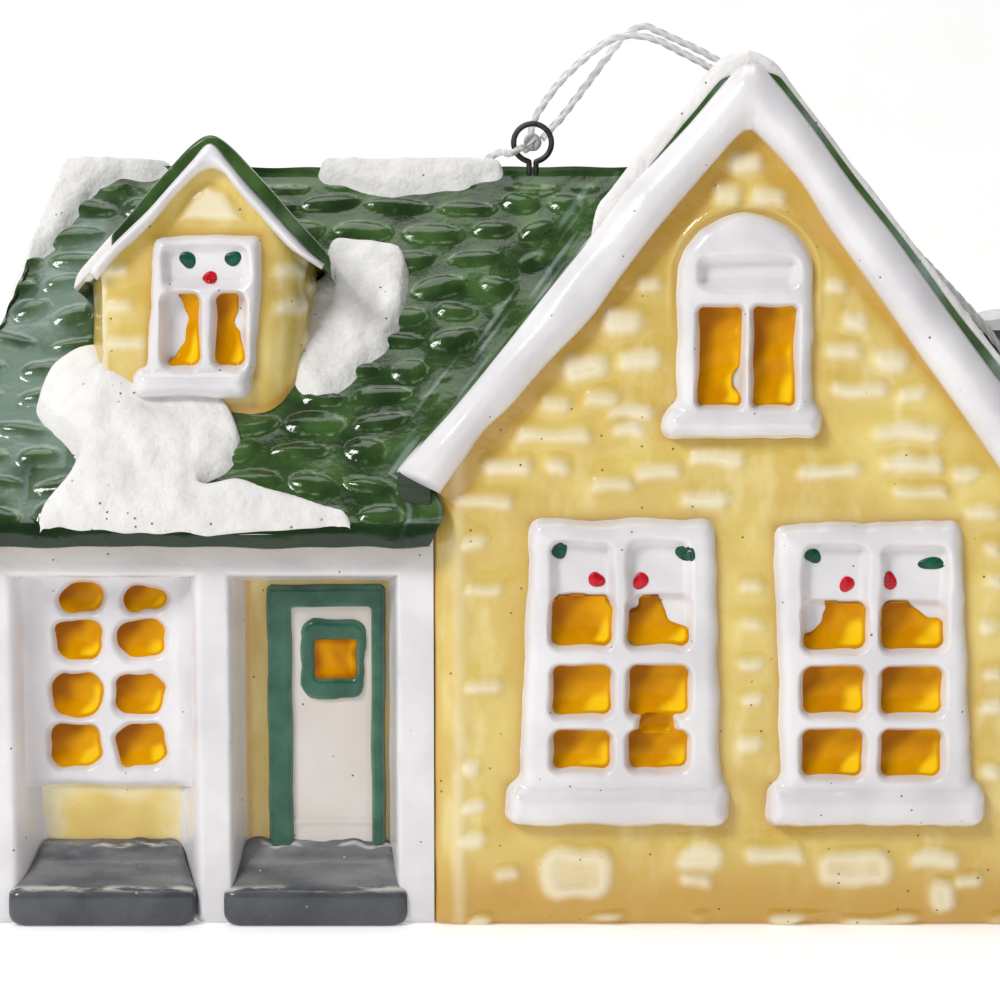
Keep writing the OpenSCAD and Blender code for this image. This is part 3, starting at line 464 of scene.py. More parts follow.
# Painted shade below and to the right of each brick, toward the foot of the wall and at its rounded edges,
# besides real pooling at the frames and the trim.
under_brick = np.clip(bricks(bx - 0.3, bz + 0.7, front_bricks) - crest, 0, 1)
pool = np.max([0.9 * stain(-to_frame, 1.3), 0.9 * stain(to_trim, 1.4), 0.7 * ramp(edge, 1.6, 0.2),
               0.95 * ramp(z, 11, 1.5), 0.55 * under_brick], 0)
chipped_foot = ramp(wave(x, z, 17, 7), 0.1, 0.6) * ramp(z, 1.6, 0.4)
# A painted highlight runs down each rounded corner, 2.3 mm in from the edge; the chipped foot is real wear.
crest = np.max([crest, 0.5 * bump(edge - 2.3, 0.9), chipped_foot], 0)
arch_line = bump(in_outline(x, z, attic_outline) + 0.75, 0.25) * ramp(z, 54, 58)
y = front + 0.9 * (1 - dome(edge, 1.8)) - 0.5 * crest * ramp(edge, 0.5, 2) - 0.1 * wave(x, z, 9, 9)
y = y + 0.5 * ramp(z, 0.7, 0) + 0.16 * pool - 0.2 * arch_line + 1.5 * ramp(to_frame, 0.5, 1.3)
glazed("front_gable_wall", yellow_glaze, at(x, y, z), at(x, front + wall_thick, z), crest=crest, pool=pool)

# The side and rear walls are the same casting: plain brick relief, no openings.
# Each stands on the foot and closes the hollow body; the base plate and partition are cast with them.
wing_l, rear = -49.025, 22


def brick_wall(node, start, along, out, length, top, seed):
    """Wall from its start corner: staggered stones at seeded places, raised along the outward direction."""
    rng = np.random.default_rng(seed)
    start, along, out = np.array(start, float), np.array(along, float), np.array(out, float)
    u, w = unit_grid(int(length / 0.3), 130)
    s, z = length * u, top(length * u) * w
    rows, stones = np.arange(9)[:, None], np.arange(int(length / 6.4))[None]
    cx = (stones + 0.5 + 0.4 * (rows % 2) - 0.2) * length / stones.size
    cx = cx + rng.uniform(-0.7, 0.7, cx.shape)
    cz = 2.6 + 4.0 * rows + rng.uniform(-0.4, 0.4, cx.shape)
    wide, tall = rng.uniform(1.5, 2.6, cx.shape), rng.uniform(0.5, 0.9, cx.shape)
    size = np.stack([cx, cz, wide, tall], -1).reshape(-1, 4)
    crest = bricks(s, z, size[rng.uniform(0, 1, len(size)) < 0.85])
    h = 0.38 * crest + 0.1 * wave(s, z, seed, 9) - 0.5 * ramp(z, 0.7, 0)
    h = h * ramp(np.minimum(s, length - s), 0, 1.5) - 0.3
    line, up = start + s[..., None] * along, z[..., None] * np.array([0, 0, 1.0])
    # Painted shade under the eaves: each wall is darker within 2.5 mm of its top.
    glazed(node, yellow_glaze, line + h[..., None] * out + up, line - wall_thick * out + up,
           crest=crest, pool=0.8 * ramp(top(s) - z, 2.5, 0.2))


def coat(material, *nodes):
    """Gives the CAD nodes that stay their finish."""
    for node in nodes:
        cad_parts[node].data.materials.clear()
        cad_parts[node].data.materials.append(material)


brick_wall("gable_right_wall", (gable_r, front + 1, 0), (0, 1, 0), (1, 0, 0), 43, lambda s: 41.2, 11)
brick_wall("gable_rear_wall", (gable_r, rear, 0), (-1, 0, 0), (0, 1, 0), 56, lambda s: 41.3, 13)
brick_wall("wing_rear_wall", (gable_l, rear, 0), (-1, 0, 0), (0, 1, 0), 43, lambda s: 37, 19)
brick_wall("wing_end_wall", (wing_l, rear, 0), (0, -1, 0), (-1, 0, 0), 39,
           lambda s: np.minimum(40.8, 65.2 - 1.2816 * np.abs(22 - s)), 17)
coat(yellow_glaze, "base_plate", "gable_left_wall")

# The porch is one deep relief: three drafted posts and a lintel in white glaze, cast with their bays.
# Behind them stands the yellow back wall that carries the porch window and the door.
# Each bay is its left and right edge at the front and the same at the back; so is the lintel's height.
porch_front, porch_back = -21.5, -17.0
bays = [((-44.9, -26.9), (-41.8, -30)), ((-24.9, -9), (-23.2, -10.5))]
lintel_front, lintel_back = 32.7, 30.9

white_glaze, shader, place = finish("white_glaze", IOR=1.5, Coat_Weight=0.3, Coat_Roughness=0.08)
cloud = place.noise(130.0)
pinhole = place.specks(1100.0, 0.14, 0.07) + place.specks(420.0, 0.07, 0.1)
colour = cloud.rise(0.3, 0.7).blend((220, 217, 221), (236, 234, 236))
# The beige (210, 196, 178) is painted shade: round the recesses of the lights, along the edges of the barge
# boards, deep in the porch bays, on the lintel under the eave and on the door leaf.
colour = (0.8 * place.mark("pool")).blend(colour, (210, 196, 178))
feed(shader, Base_Color=pinhole.rise(0.0, 1.0).blend(colour, (112, 98, 86)), Roughness=0.16 + 0.12 * cloud,
     Height=(place.noise(1300.0) - pinhole, 0.00004))

x, z = np.meshgrid(np.linspace(wing_l, gable_l, 290), 39.6 * np.linspace(0, 1, 250))
depth, label = np.zeros(x.shape), np.where(x < -36, 0, np.where(x < -17, 1, 2))
for (front_l, front_r), (back_l, back_r) in bays:
    sides = np.minimum((x - front_l) / (back_l - front_l), (front_r - x) / (front_r - back_r))
    over = (lintel_front - z) / (lintel_front - lintel_back)
    depth = np.maximum(depth, np.clip(np.minimum(sides, over), 0, 1))
    label = np.where((sides > 0) & (over < sides), 3, label)
label = np.where(z > lintel_front, 3, label)
soft = depth - 0.15 * np.sin(2 * np.pi * depth)
y = porch_front + (porch_back - porch_front + 0.15) * soft - 0.12 * wave(x, z, 23, 8)
y = np.clip(y + 0.5 * ramp(z, 0.7, 0) * (depth < 0.5), porch_front, None)
# Painted shade deep in the bays and on the lintel under the eave.
pool = np.maximum(0.5 * ramp(depth, 0.75, 1.0), 1.1 * ramp(z, 32, 36.5))
for k, node in enumerate(("porch_post_left", "porch_post_middle", "porch_post_right", "porch_lintel")):
    glazed(node, white_glaze, at(x, y, z), at(x, porch_back + 0.25, z),
           (label[1:, 1:] == k) & (depth[1:, 1:] < 0.995), pool=pool)

u, w = unit_grid(160, 140)
x, z = wing_l + 3 + (gable_l - wing_l - 3) * u, 36 * w
(bay_l, bay_r), (door_l, door_r) = bays[0][1], bays[1][1]
# Painted shade over the porch's back wall, with random tone: darker at the back corners of the door's bay and
# toward the foot.
pool = np.maximum(0.35 + 0.4 * wave(x, z, 31, 9), np.exp(-np.abs(np.minimum(x - door_l, door_r - x)) / 0.7))
to_white = np.minimum(np.minimum(x - bay_l, bay_r - x), 12.2 - z) + 0.35 * wave(x, z, 37, 2.5)
fade = ramp(to_white, 3.0, -0.5) * (x < -28)
pool = np.clip(np.maximum(pool, 0.45 * ramp(z, 14, 12)) - 0.9 * fade, 0, 1)
crest = np.clip(0.2 * wave(x, z, 35, 5) + 0.85 * fade, 0, 1)
behind_window = in_box(x, z, (bay_l - 0.6, bay_r + 0.6, 12, 31.4), 0.5)
y = porch_back - 0.06 * wave(x, z, 33, 6) + 1.6 * ramp(behind_window, 0.5, 1.3)
glazed("porch_back_wall", yellow_glaze, at(x, y, z), at(x, porch_back + wall_thick, z),
       crest=crest, pool=pool)

# The steps fill the foot of each bay: two soft treads under a dark grey glaze that thins on the noses.
# Their profile is (y, z) from the toe over both treads to the back wall.
step_toe, step_end = -22.3, -16.9
step_profile = [(step_toe + 0.1, 0), (step_toe, 0.8), (step_toe, 2.5), (step_toe + 0.2, 3.1),
                (step_toe + 0.75, 3.45), (step_toe + 1.8, 4.1), (step_toe + 2.9, 4.9), (step_toe + 3.7, 5.7),
                (step_toe + 4.2, 6.4), (-17.5, 6.8), (step_end, 6.9), (step_end, 0)]
toes = ((-45, -27.9), (-25.3, -8.5))
grey_glaze, shader, place = finish("grey_glaze", IOR=1.4, Coat_Weight=0.3, Coat_Roughness=0.1)
cloud = place.noise(240.0, 5.0)
brushed = place.stretch(0.3, 1.0, 1.0)
pinhole = place.specks(900.0, 0.16, 0.12)
colour = cloud.rise(0.3, 0.7).blend((62, 65, 71), (84, 87, 93))
colour = (place.mark("thin") * brushed.noise(420.0, 6.0).rise(0.2, 0.8)).blend(colour, (146, 146, 145))
colour = (place.mark("crest") * brushed.noise(900.0, 4.0).rise(0.46, 0.58)).blend(colour, (206, 202, 196))
feed(shader, Base_Color=pinhole.blend(colour, (170, 168, 164)), Roughness=0.16 + 0.25 * cloud,
     Height=(cloud + 0.4 * place.noise(1400.0) - pinhole, 0.00008))
outline = even(np.concatenate([curve(step_profile[:10], 6), step_profile[10:], step_profile[:1]]), 0.22)[:-1]
py, pz = outline[None, :, 0], outline[None, :, 1]
share = np.clip((py - porch_front) / (porch_back - porch_front), 0, 1)
tuck = 0.8 * (1 - dome(pz, 1.3)) * (py < -21)
nose = bump(pz - 3.35, 0.16) + bump(pz - 6.55, 0.12) * (py < -17.2)
f = np.linspace(0, 1, 90)[:, None]
for (ends, back_ends), toe, side, seed in zip(bays, toes, ("left", "right"), (56, 57)):
    x0 = toe[0] + (back_ends[0] - 0.3 - toe[0]) * share
    x1 = toe[1] + (back_ends[1] + 0.3 - toe[1]) * share
    x = x0 + tuck + (x1 - x0 - 2 * tuck) * f
    soft = 1 - 0.1 * (1 - dome(np.minimum(f, 1 - f) * (ends[1] - ends[0]), 1.2))
    rough = 0.06 * wave(x, py + 0.7 * pz, seed, 5)
    rough = rough + 0.3 * wave(x, 0 * x, seed + 2, 2.4) * ramp(py, -19.2, -17.6)
    y = np.clip(py + rough * (pz > 0.3) + (1 - soft) * 6, step_toe - 0.1, step_end)
    y = np.where(py < -17, y, py)
    z = np.clip(pz * soft + rough * (pz > 0.3) * (py < -17), 0, None)
    paint = {"crest": nose + 0 * x, "thin": 0.9 * ramp(pz, 3.2, 3.8) + 0 * x}
    node = "porch_step_" + side
    fit(solid(node + "_glazed", [shell(at(x, y, z))], paint), grey_glaze, node)

# The window frames are sprigged on in white: a soft slab with a sill and sunk lights.
# The lit panes are pools of clear amber glaze that has run to the edges of its light, not always filling it.
# A light is a box (x0, x1, z0, z1); a bite, where a pane is missing, is (x, z, half width, half height).
frame_step, frame_proud = 0.14, 1.4
amber_glaze, shader, place = finish("amber_glaze", IOR=1.17, Roughness=0.05)
cloud = place.noise(300.0)
colour = cloud.rise(0.3, 0.75).blend((208, 136, 0), (230, 162, 0))
# The bright yellow is a painted highlight toward each pane's lower right; the brown is thicker glaze at the
# pane edges and in the notch, and painted shade toward each pane's upper left.
colour = (place.mark("crest") * (0.5 + cloud)).rise(0.1, 0.9).blend(colour, (252, 202, 24))
colour = (place.mark("deep") * (0.6 + 0.8 * cloud)).rise(0.1, 1.05).blend(colour, (152, 84, 0))
feed(shader, Base_Color=colour, Height=(cloud, 0.00008))


def rounded(outline, r):
    """The outline with each corner cut back by r and bridged by a quadratic curve."""
    p = np.array(outline, float)
    cut = []
    for neighbour in (np.roll(p, 1, 0), np.roll(p, -1, 0)):
        size = np.linalg.norm(neighbour - p, axis=1)[:, None]
        cut.append(p + (neighbour - p) / size * np.minimum(r, 0.45 * size))
    t = np.linspace(0, 1, 5)[None, :, None]
    line = (1 - t) ** 2 * cut[0][:, None] + 2 * t * (1 - t) * p[:, None] + t ** 2 * cut[1][:, None]
    return line.reshape(-1, 2)


def join(a, b, soft):
    """The larger of two values, with the crease between them filled over the given difference."""
    return np.maximum(a, b) + np.clip(soft - np.abs(a - b), 0, None) ** 2 / (4 * soft)


def window(node, outline, sill, lights, blinds, face, proud, bites, seed, corner=1.2, round_light=0.9,
           brim_full=False, dark=(), flare=1.4, uneven=0.08, more=None):
    """Frame and panes as heights over the wall: a slab with a quarter-round edge, joined to a half-round
    sill, minus a smooth step down to each light's floor, painted darker round each recess as shade. Panes are
    bowls that rise with the 2.5th power of a rounded box's radius, cut by the bites and browner in the dark
    boxes, with painted shade toward the upper left and a painted highlight toward the lower right. Gives the
    frame's height."""
    outline = rounded(outline, corner)
    low, high = outline.min(0) - 0.6, outline.max(0) + 0.6
    if sill:
        low = np.minimum(low, (sill[0] - 0.6, sill[2] - 0.6))
        high = np.maximum(high, (sill[1] + 0.6, sill[3] + 0.6))
    x, z = np.meshgrid(np.arange(low[0], high[0], frame_step), np.arange(low[1], high[1], frame_step))
    sx = x + 0.14 * wave(x, z, seed, 8) + 0.06 * wave(x, z, seed + 3, 3)
    sz = z + 0.14 * wave(x, z, seed + 1, 8) + 0.06 * wave(x, z, seed + 4, 3)
    d = in_outline(sx, sz, outline)
    if sill:
        d_sill = in_box(sx, sz, sill, 1.0)
        d = join(d, d_sill, flare)
    h = proud * dome(d, 1.25) * (1 - 0.08 * ramp(d, 2.5, 0.8))
    if sill:
        h = join(h, (proud + 0.5) * dome(d_sill, 1.5), 0.5)
    h = h + (more(x, z) if more else 0)
    # The frame is painted darker round the edges of each recess, as shade; each pane gets painted shade
    # toward its upper left and a painted highlight toward its lower right.
    pool, shade, gleam = np.zeros(x.shape), np.zeros(x.shape), np.zeros(x.shape)
    in_light, bowl = np.full(x.shape, -9.0), np.full(x.shape, 1.3)
    floor, brim = (-0.1, 0.35) if brim_full else (-0.5, 0.5)
    for box in blinds:
        inside = in_box(sx, sz, box, 0.8)
        h = h + (0.2 - h) * ramp(inside, -0.5, 0.6)
        pool = np.maximum(pool, 0.2 * np.exp(-np.abs(inside) / 0.3))
    for box in lights:
        x0, x1, z0, z1 = box
        ux, uz = x + uneven * wave(x, z, seed + 8, 4), z + uneven * wave(x, z, seed + 9, 4)
        inside = in_box(ux, uz, box, round_light)
        h = h + (floor - h) * ramp(inside, -0.5, 0.45)
        pool = np.maximum(pool, 0.3 * np.exp(-np.abs(inside) / 0.3))
        in_light = np.maximum(in_light, inside)
        across, up = (2 * x - x0 - x1) / (x1 - x0), (2 * z - z0 - z1) / (z1 - z0)
        radius = np.cbrt(np.abs(across) ** 3 + np.abs(up) ** 3)
        bowl = np.minimum(bowl, np.clip(radius, 0, 1.15) ** 2.5)
        high_left = 0.6 * (x1 - x) / (x1 - x0) + 0.4 * (z - z0) / (z1 - z0) + 0.07 * wave(x, z, seed + 6, 3)
        shade = np.where(inside > 0, 0.85 * ramp(high_left, 0.4, 0.85) + 0.2 * brim_full, shade)
        gleam = np.where(inside > 0, ramp(high_left, 0.42, 0.12), gleam)
    h = h - 0.6 * ramp(d, 0.05, -0.4) + 0.04 * wave(x, z, seed + 2, 5) * (d > 0)
    glazed(node + "_frame", white_glaze, at(x, face - h, z), at(x, face + 1.2, z), cells(d > -0.35),
           pool=pool)
    bitten = np.full(x.shape, -9.0)
    for bx, bz, rx, rz in bites:
        reach = np.hypot((x - bx) / rx, (z - bz) / rz) + 0.12 * wave(x, z, seed + 7, 2)
        bitten = np.maximum(bitten, (1 - reach) * min(rx, rz))
    in_pane = np.minimum(in_light, np.where(bitten > -9, -bitten, 9.0))
    gone = ramp(bitten, -0.4, 0.1)
    level = floor + 0.12 + brim * bowl * (1 - gone) - 0.5 * gone + 0.06 * wave(x, z, seed + 5, 3)
    deep = np.maximum(0.35 * (not brim_full) * (1 - ramp(in_pane, 0, 0.3)), shade)
    for box in dark:
        deep = np.maximum(deep, 0.6 * ramp(in_box(x, z, box, 0.5), -0.6, 0.8))
    glazed(node + "_panes", amber_glaze, at(x, face - level, z), at(x, face + 1.0, z), cells(in_light > 0.05),
           deep=deep, crest=gleam * ramp(in_pane, 0.1, 0.5))

    def frame_height(px, pz):
        return h[((pz - low[1]) / frame_step).astype(int), ((px - low[0]) / frame_step).astype(int)]

    return frame_height


def lights_of(columns, rows):
    """Boxes (x0, x1, z0, z1) of every column and row."""
    return [(*c, *r) for c in columns for r in rows]


def porch_rim(x, z):
    """The porch window's frame rises to its sides and its top with 0.35 times the square of the distance."""
    beyond = [np.clip(-41.2 - x, 0, 3), np.clip(x + 30.6, 0, 3), np.clip(z - 30.5, 0, 2.5)]
    return 0.35 * (np.max(beyond, 0) ** 2)


columns, notch = [(4.7, 10.1), (11.6, 17.1)], (12.6, 15.9, 17.9, 19.9)
left_lights = [*lights_of(columns, [(26.1, 30.6), (19.7, 24.3), (14.7, 18.3)]), notch]
left_level = window("left_window", left_outline, left_sill, left_lights,
                    lights_of(columns, [(26.1, 35.6)]), front, frame_proud,
                    [(17.3, 30.4, 2.5, 2.6), (11.3, 30.6, 1.4, 1.2)], 51, dark=[notch])
columns = [(27.4, 33), (34.5, 40.1)]
right_lights = lights_of(columns, [(25.8, 30), (19.8, 24.2), (14, 18.4)])
right_level = window("right_window", right_outline, right_sill, right_lights,
                     lights_of(columns, [(25.8, 35.3)]), front, frame_proud,
                     [(27.5, 29.4, 1.7, 2), (40.3, 30.3, 2.7, 1.8)], 61)
window("attic_window", attic_outline, attic_sill, lights_of([(17.7, 21.6), (22.6, 26.4)], [(47.9, 56.8)]),
       [(17.7, 26.4, 58.6, 61.2)], front, frame_proud, [(21.8, 50.2, 0.7, 1)], 71, 0.4, 0.5)
porch_lights = [(-40.6, -36.3, 28.4, 30.9), (-34.6, -30.5, 28.4, 30.9), (-40.8, -36.5, 24, 27.6),
                (-35.2, -30.7, 24, 27.6), (-41.2, -36.7, 18.7, 22.6), (-35.4, -30.9, 18.7, 22.6),
                (-41.5, -36.9, 13.9, 17.8), (-35.3, -30.8, 13.9, 17.8)]
window("porch_window", [(-44.2, 12), (-27.6, 12), (-27.6, 33), (-44.2, 33)], None, porch_lights, [],
       porch_back, 1.0, [], 81, 0.5, 1.3, True, uneven=0.22, more=porch_rim)

# The door is a white leaf in a green surround, with a small green-rimmed amber light.
# All four are thin layers sprigged on the porch's back wall, and the grey step laps over their foot.
door_outer, door_leaf = (-21.4, -10.6, 5, 30.8), (-19.1, -11.9, 4, 28.7)
light_outer, light_box = (-18.4, -12.5, 20.3, 27.6), (-16.9, -13.3, 22.3, 25.7)
door_glaze, shader, place = finish("door_glaze", IOR=1.35, Coat_Weight=0.15, Coat_Roughness=0.05)
cloud = place.noise(380.0, 5.0)
colour = cloud.rise(0.3, 0.7).blend((40, 84, 67), (58, 104, 84))
pale = (place.mark("crest") * (0.4 + 0.8 * cloud)).rise(0.35, 0.95)
feed(shader, Base_Color=(0.5 * pale).blend(colour, (112, 146, 128)), Roughness=0.14 + 0.15 * cloud,
     Height=(place.noise(1300.0), 0.00006))
x, z = np.meshgrid(np.arange(-22, -10, 0.12), np.arange(4.6, 31.4, 0.12))
sx, sz = x + 0.07 * wave(x, z, 91, 11), z + 0.07 * wave(x, z, 92, 11)


def door_layer(node, material, d, h, **paint):
    """A layer on the back wall, of height h where the inward distance d is positive, sunk elsewhere."""
    y = porch_back - h + 0.5 * ramp(d, 0.05, -0.3)
    glazed(node, material, at(x, y, z), at(x, porch_back + 0.5, z), cells(d > -0.25), **paint)


around, leaf = in_box(sx, sz, door_outer, 0.5), in_box(sx, sz, door_leaf, 0.3)
rim = in_box(sx + 0.2 * wave(x, z, 93, 3.5), sz + 0.2 * wave(x, z, 94, 3.5), light_outer, 1.3)
light = in_box(sx + 0.08 * wave(x, z, 96, 3), sz + 0.08 * wave(x, z, 98, 3), light_box, 0.35)
band, light_band = np.minimum(around, -leaf), np.minimum(rim, -light)
door_layer("door_frame", door_glaze, band, 1.0 * dome(band, 0.45), crest=ramp(band, 0.7, 0.1))
# The leaf is painted darker all over, and more toward its edges, as shade inside the bay.
door_layer("door_leaf", white_glaze, leaf + 0.2, 0.3 + 0.12 * bump(z - 8.6, 0.35) + 0.04 * wave(x, z, 95, 5),
           pool=0.7 + 0.2 * ramp(leaf, 0.8, 0) + 0.2 * wave(x, z, 97, 9))
door_layer("door_light_frame", door_glaze, light_band, 0.3 + 0.6 * dome(light_band, 0.6),
           crest=ramp(light_band, 0.6, 0.1))
door_layer("door_light_pane", amber_glaze, light + 0.1, 0.5 + 0.25 * ramp(light, 0.9, 0),
           deep=0.4 + 0.4 * ramp(light, 0.5, 0) + 0.25 * wave(x, z, 99, 2))

# The roof slopes carry rows of long oval shingles under a dark green glaze.
# The glaze lies milky and blue-grey in the hollows: a painted reflection, strongest on the left of the front
# slope and elsewhere following the runs of the glaze. Light green on parts of the shingle rims is a painted
# highlight.
eave_x, eave_y, hip_x, wing_climb, wing_eave = 52.475, 24.5, 41.275, 31.4, 37
ridge_h, wing_slope, hip_slope = wing_eave + wing_climb, wing_climb / eave_y, 2.8036
gable_half, gable_climb, gable_eave, rear_slope = 30.5, 37, 41.4, 1.6087
green_glaze, shader, place = finish("green_glaze", IOR=1.38, Coat_Weight=0.3, Coat_Roughness=0.02)
crest, milk = place.mark("crest"), place.mark("milk")
cloud = place.noise(260.0, 4.0)
fine = place.noise(1400.0, 4.0)
colour = cloud.rise(0.3, 0.75).blend((30, 54, 21), (68, 101, 46))
haze = ((1 - 0.65 * crest) * milk * (0.1 + 1.6 * cloud)).rise(0.12, 0.85)
colour = (0.8 * haze).blend(colour, (128, 148, 138))
rim = crest.rise(0.01, 0.15) * (1 - crest.rise(0.2, 0.55))
worn = rim * fine.rise(0.35, 0.6) * place.noise(520.0, 2.0).rise(0.42, 0.62)
colour = (0.55 * worn).blend(colour, (150, 176, 134))
# The eave roll is painted darker green as shade.
colour = (0.85 * place.mark("deep")).blend(colour, (14, 36, 16))
colour = milk.rise(1.2, 1.5).blend(colour, (236, 233, 230))
feed(shader, Base_Color=colour, Roughness=0.06 + 0.16 * cloud, Height=(fine + 0.6 * cloud, 0.00005))


def shingles(s, climb, pitch, seed):
    """Height 0 to 1 of lens-shaped pillows in courses: (1 - |u|^2.3 - |v|^1.9)^0.65 in each pillow's own
    lengths u and v, with seeded lengths, sizes and places; also a lot from 0 to 1 for each pillow."""
    rng = np.random.default_rng(seed)
    course = np.floor(climb / pitch).astype(int)
    high, lot = np.zeros(s.shape), np.zeros(s.shape)
    for k in np.unique(course):
        row = course == k
        ends = np.cumsum(rng.uniform(3.8, 7.4, 40)) + s.min() - rng.uniform(9, 15)
        which = np.searchsorted(ends, s[row])
        reach = np.diff(ends, prepend=ends[0] - 6)[np.minimum(which, 39)]
        u = (s[row] - ends[np.minimum(which, 39)] + reach / 2) / (reach / 2)
        shift, size = rng.uniform(-0.16, 0.16, 41)[which], rng.uniform(0.55, 0.95, 41)[which]
        tilt, wide = rng.uniform(-0.16, 0.16, 41)[which], rng.uniform(0.72, 0.95, 41)[which]
        across = ((climb[row] / pitch) % 1 - 0.5 + shift + tilt * u) * 2 / size
        high[row] = np.clip(1 - np.abs(u / wide) ** 2.3 - np.abs(across / 0.86) ** 1.9, 0, 1) ** 0.65
        lot[row] = rng.uniform(0, 1, 41)[which]
    return high, lot


def roof(node, eave, inward, run, climb, left, right, courses, seed, part="", lip=1.5, gap=0.25,
         milky=lambda s: 0.15, rake=False, bare=0.0, lift=(0, 0)):
    """Roof slope: a profile from the soffit round the eave and up to the ridge, carried along the eave.
    left and right give its ends as (share of the run, distance along). Shingles swell out along the normal,
    except for the bare width at the right end. A rake's front edge is lifted at the eave and the ridge."""
    eave, inward, upward = np.array(eave, float), np.array(inward, float), np.array([0, 0, 1.0])
    along = np.cross(inward, upward)
    k = climb / run
    profile = [(2.2, -lip), (1.2, -lip), (0.5, 0.15 - lip), (0.14, 0.55 - lip), (0.1, -0.25),
               (0.35, 0.35 * k + 0.1), (0.85, 0.85 * k), (1.6, 1.6 * k), (2.6, 2.6 * k), (run, climb)]
    line = even(np.concatenate([curve(profile[:-1], 8), profile[-1:]]), gap)
    ahead, up = heading(line), run_of(line)
    up = up - up[np.argmax(line[:, 1] > 0.3)]
    share = line[:, 0] / run
    s0, s1 = np.interp(share, *zip(*left)), np.interp(share, *zip(*right))
    s1 = s1 - (2.4 * np.clip(up / up[0], 0, 1) ** 1.6 if bare else 0)
    u = np.linspace(0, 1, int((s1 - s0).max() / gap))[None]
    s, t = s0[:, None] + (s1 - s0)[:, None] * u, up[:, None] + 0 * u
    to_ridge = up[-1] - t
    high, lot = shingles(s + 0.3 * wave(s, t, seed + 1, 9), t + 0.25 * wave(s, t, seed + 2, 12),
                         up[-1] / max(courses, 1), seed)
    high = high * ramp(t, -0.2, 0.6) * ramp(to_ridge, 1.6, 3.2) * (courses > 0)
    # Painted reflection: the milky share that the slope gives, with random variation, plus streaked runs of
    # the glaze at bare ends and on rakes.
    milk = milky(s) * (0.8 + 0.6 * wave(s, t, seed + 4, 14) + 0.5 * (lot - 0.5))
    milk = (milk + 0.06 * wave(s, t, seed + 5, 9)) * ramp(t, 0.2, 1.5)
    if bare:
        to_end = s1[:, None] - s
        high = high * ramp(to_end, bare - 1.2, bare + 1.4)
        runs = np.clip(wave(2.2 * to_end, 0.16 * t, seed + 6, 2.2), 0, 1)
        milk = np.maximum(milk, 0.9 * ramp(to_end, bare + 2, bare) * runs)
    if rake:
        milk = np.maximum(milk, 0.9 * np.clip(wave(1.6 * s, 0.16 * t, seed + 6, 2.2) + 0.2, 0, 1))
    h = 0.45 * high * (0.75 + 0.4 * lot) - 0.25 + 0.1 * wave(s, t, seed + 3, 7)
    lifted = np.interp(share, (0, 1), lift)[:, None] * ramp(np.abs(s), 19, 22) * ramp(to_ridge, 0, 3)
    h = h * ramp(to_ridge, 0.0, 0.8) - 0.1 + lifted
    level = eave + s[..., None] * along
    face = level + (line[:, 0, None] - h * ahead[:, 1, None])[..., None] * inward
    face = face + (line[:, 1, None] + h * ahead[:, 0, None])[..., None] * upward
    if inward[1]:
        uneven = 0.2 * wave(level[..., 0], 0 * s, 77, 9) * (ramp(to_ridge, 3, 0) + ramp(t, 0.5, -0.5))
        face[..., 2] = face[..., 2] + uneven
    inner = np.maximum(line[:, 0], 2.4)[:, None] + 0 * s
    held = np.clip(s, np.interp(inner / run, *zip(*left)), np.interp(inner / run, *zip(*right)))
    thick = 3.2 - 2.1 * ramp(np.abs(s), 20.8, 21.4) * rake
    under = np.maximum(inner * k - thick, -lip + 0.4)
    back = eave + held[..., None] * along + inner[..., None] * inward + under[..., None] * upward
    glazed(node, green_glaze, face, back, True if rake else None, part,
           crest=high, milk=np.clip(milk, 0, 1), deep=ramp(t, 1.1, -0.1))


roof("front_roof_slope", (0, -eave_y, wing_eave), (0, 1, 0), eave_y, wing_climb, [(0, -eave_x), (1, -hip_x)],
     [(0, -5.7), (0.03, -5.1), (0.06, -5), (0.09, -5.4), (0.12, -6.7), (0.15, -8.5), (1, 13.73)], 13, 3,
     milky=lambda s: ramp(s, -26, -44), bare=3.6, lip=2.1)
roof("rear_roof_slope", (0, eave_y, wing_eave), (0, -1, 0), eave_y, wing_climb,
     [(0, 5.2), (0.11, 5.2), (0.15, 8.3), (1, -13.73)], [(0, eave_x), (1, hip_x)], 11, 5)
roof("hip_roof_end", (-eave_x, 0, wing_eave), (1, 0, 0), 11.2, wing_climb, [(0, -eave_y), (1, 0)],
     [(0, eave_y), (1, 0)], 9, 8)
roof("gable_roof_rear", (gable_cx, eave_y, gable_eave), (0, -1, 0), 23, gable_climb,
     [(0, -gable_half), (1, 0)], [(0, gable_half), (1, 0)], 12, 21)

# The gable's own slopes are smooth, and the green runs down them in streaks to the valley.
# Their front edge stands a little proud over the white barge boards.
left_eave, right_eave = (-8.525, 0, gable_eave), (eave_x, 0, gable_eave)
rake_y, valley_y, rear_ridge = 22.5, 21.07, 1.5
roof("gable_roof_left", left_eave, (1, 0, 0), gable_half, gable_climb, [(0, valley_y), (0.73, 0), (1, 0)],
     [(0, rake_y), (1, rake_y)], 0, 31, "_front", gap=0.32, rake=True, lift=(1.2, 1.3))
roof("gable_roof_left", left_eave, (1, 0, 0), gable_half, gable_climb, [(0, -eave_y), (1, -rear_ridge)],
     [(0, -valley_y), (0.73, 0), (1, 0)], 0, 32, "_rear")
roof("gable_roof_right", right_eave, (-1, 0, 0), gable_half, gable_climb, [(0, -rake_y), (1, -rake_y)],
     [(0, eave_y), (1, rear_ridge)], 0, 33, gap=0.32, rake=True, lift=(0.3, 1.75))

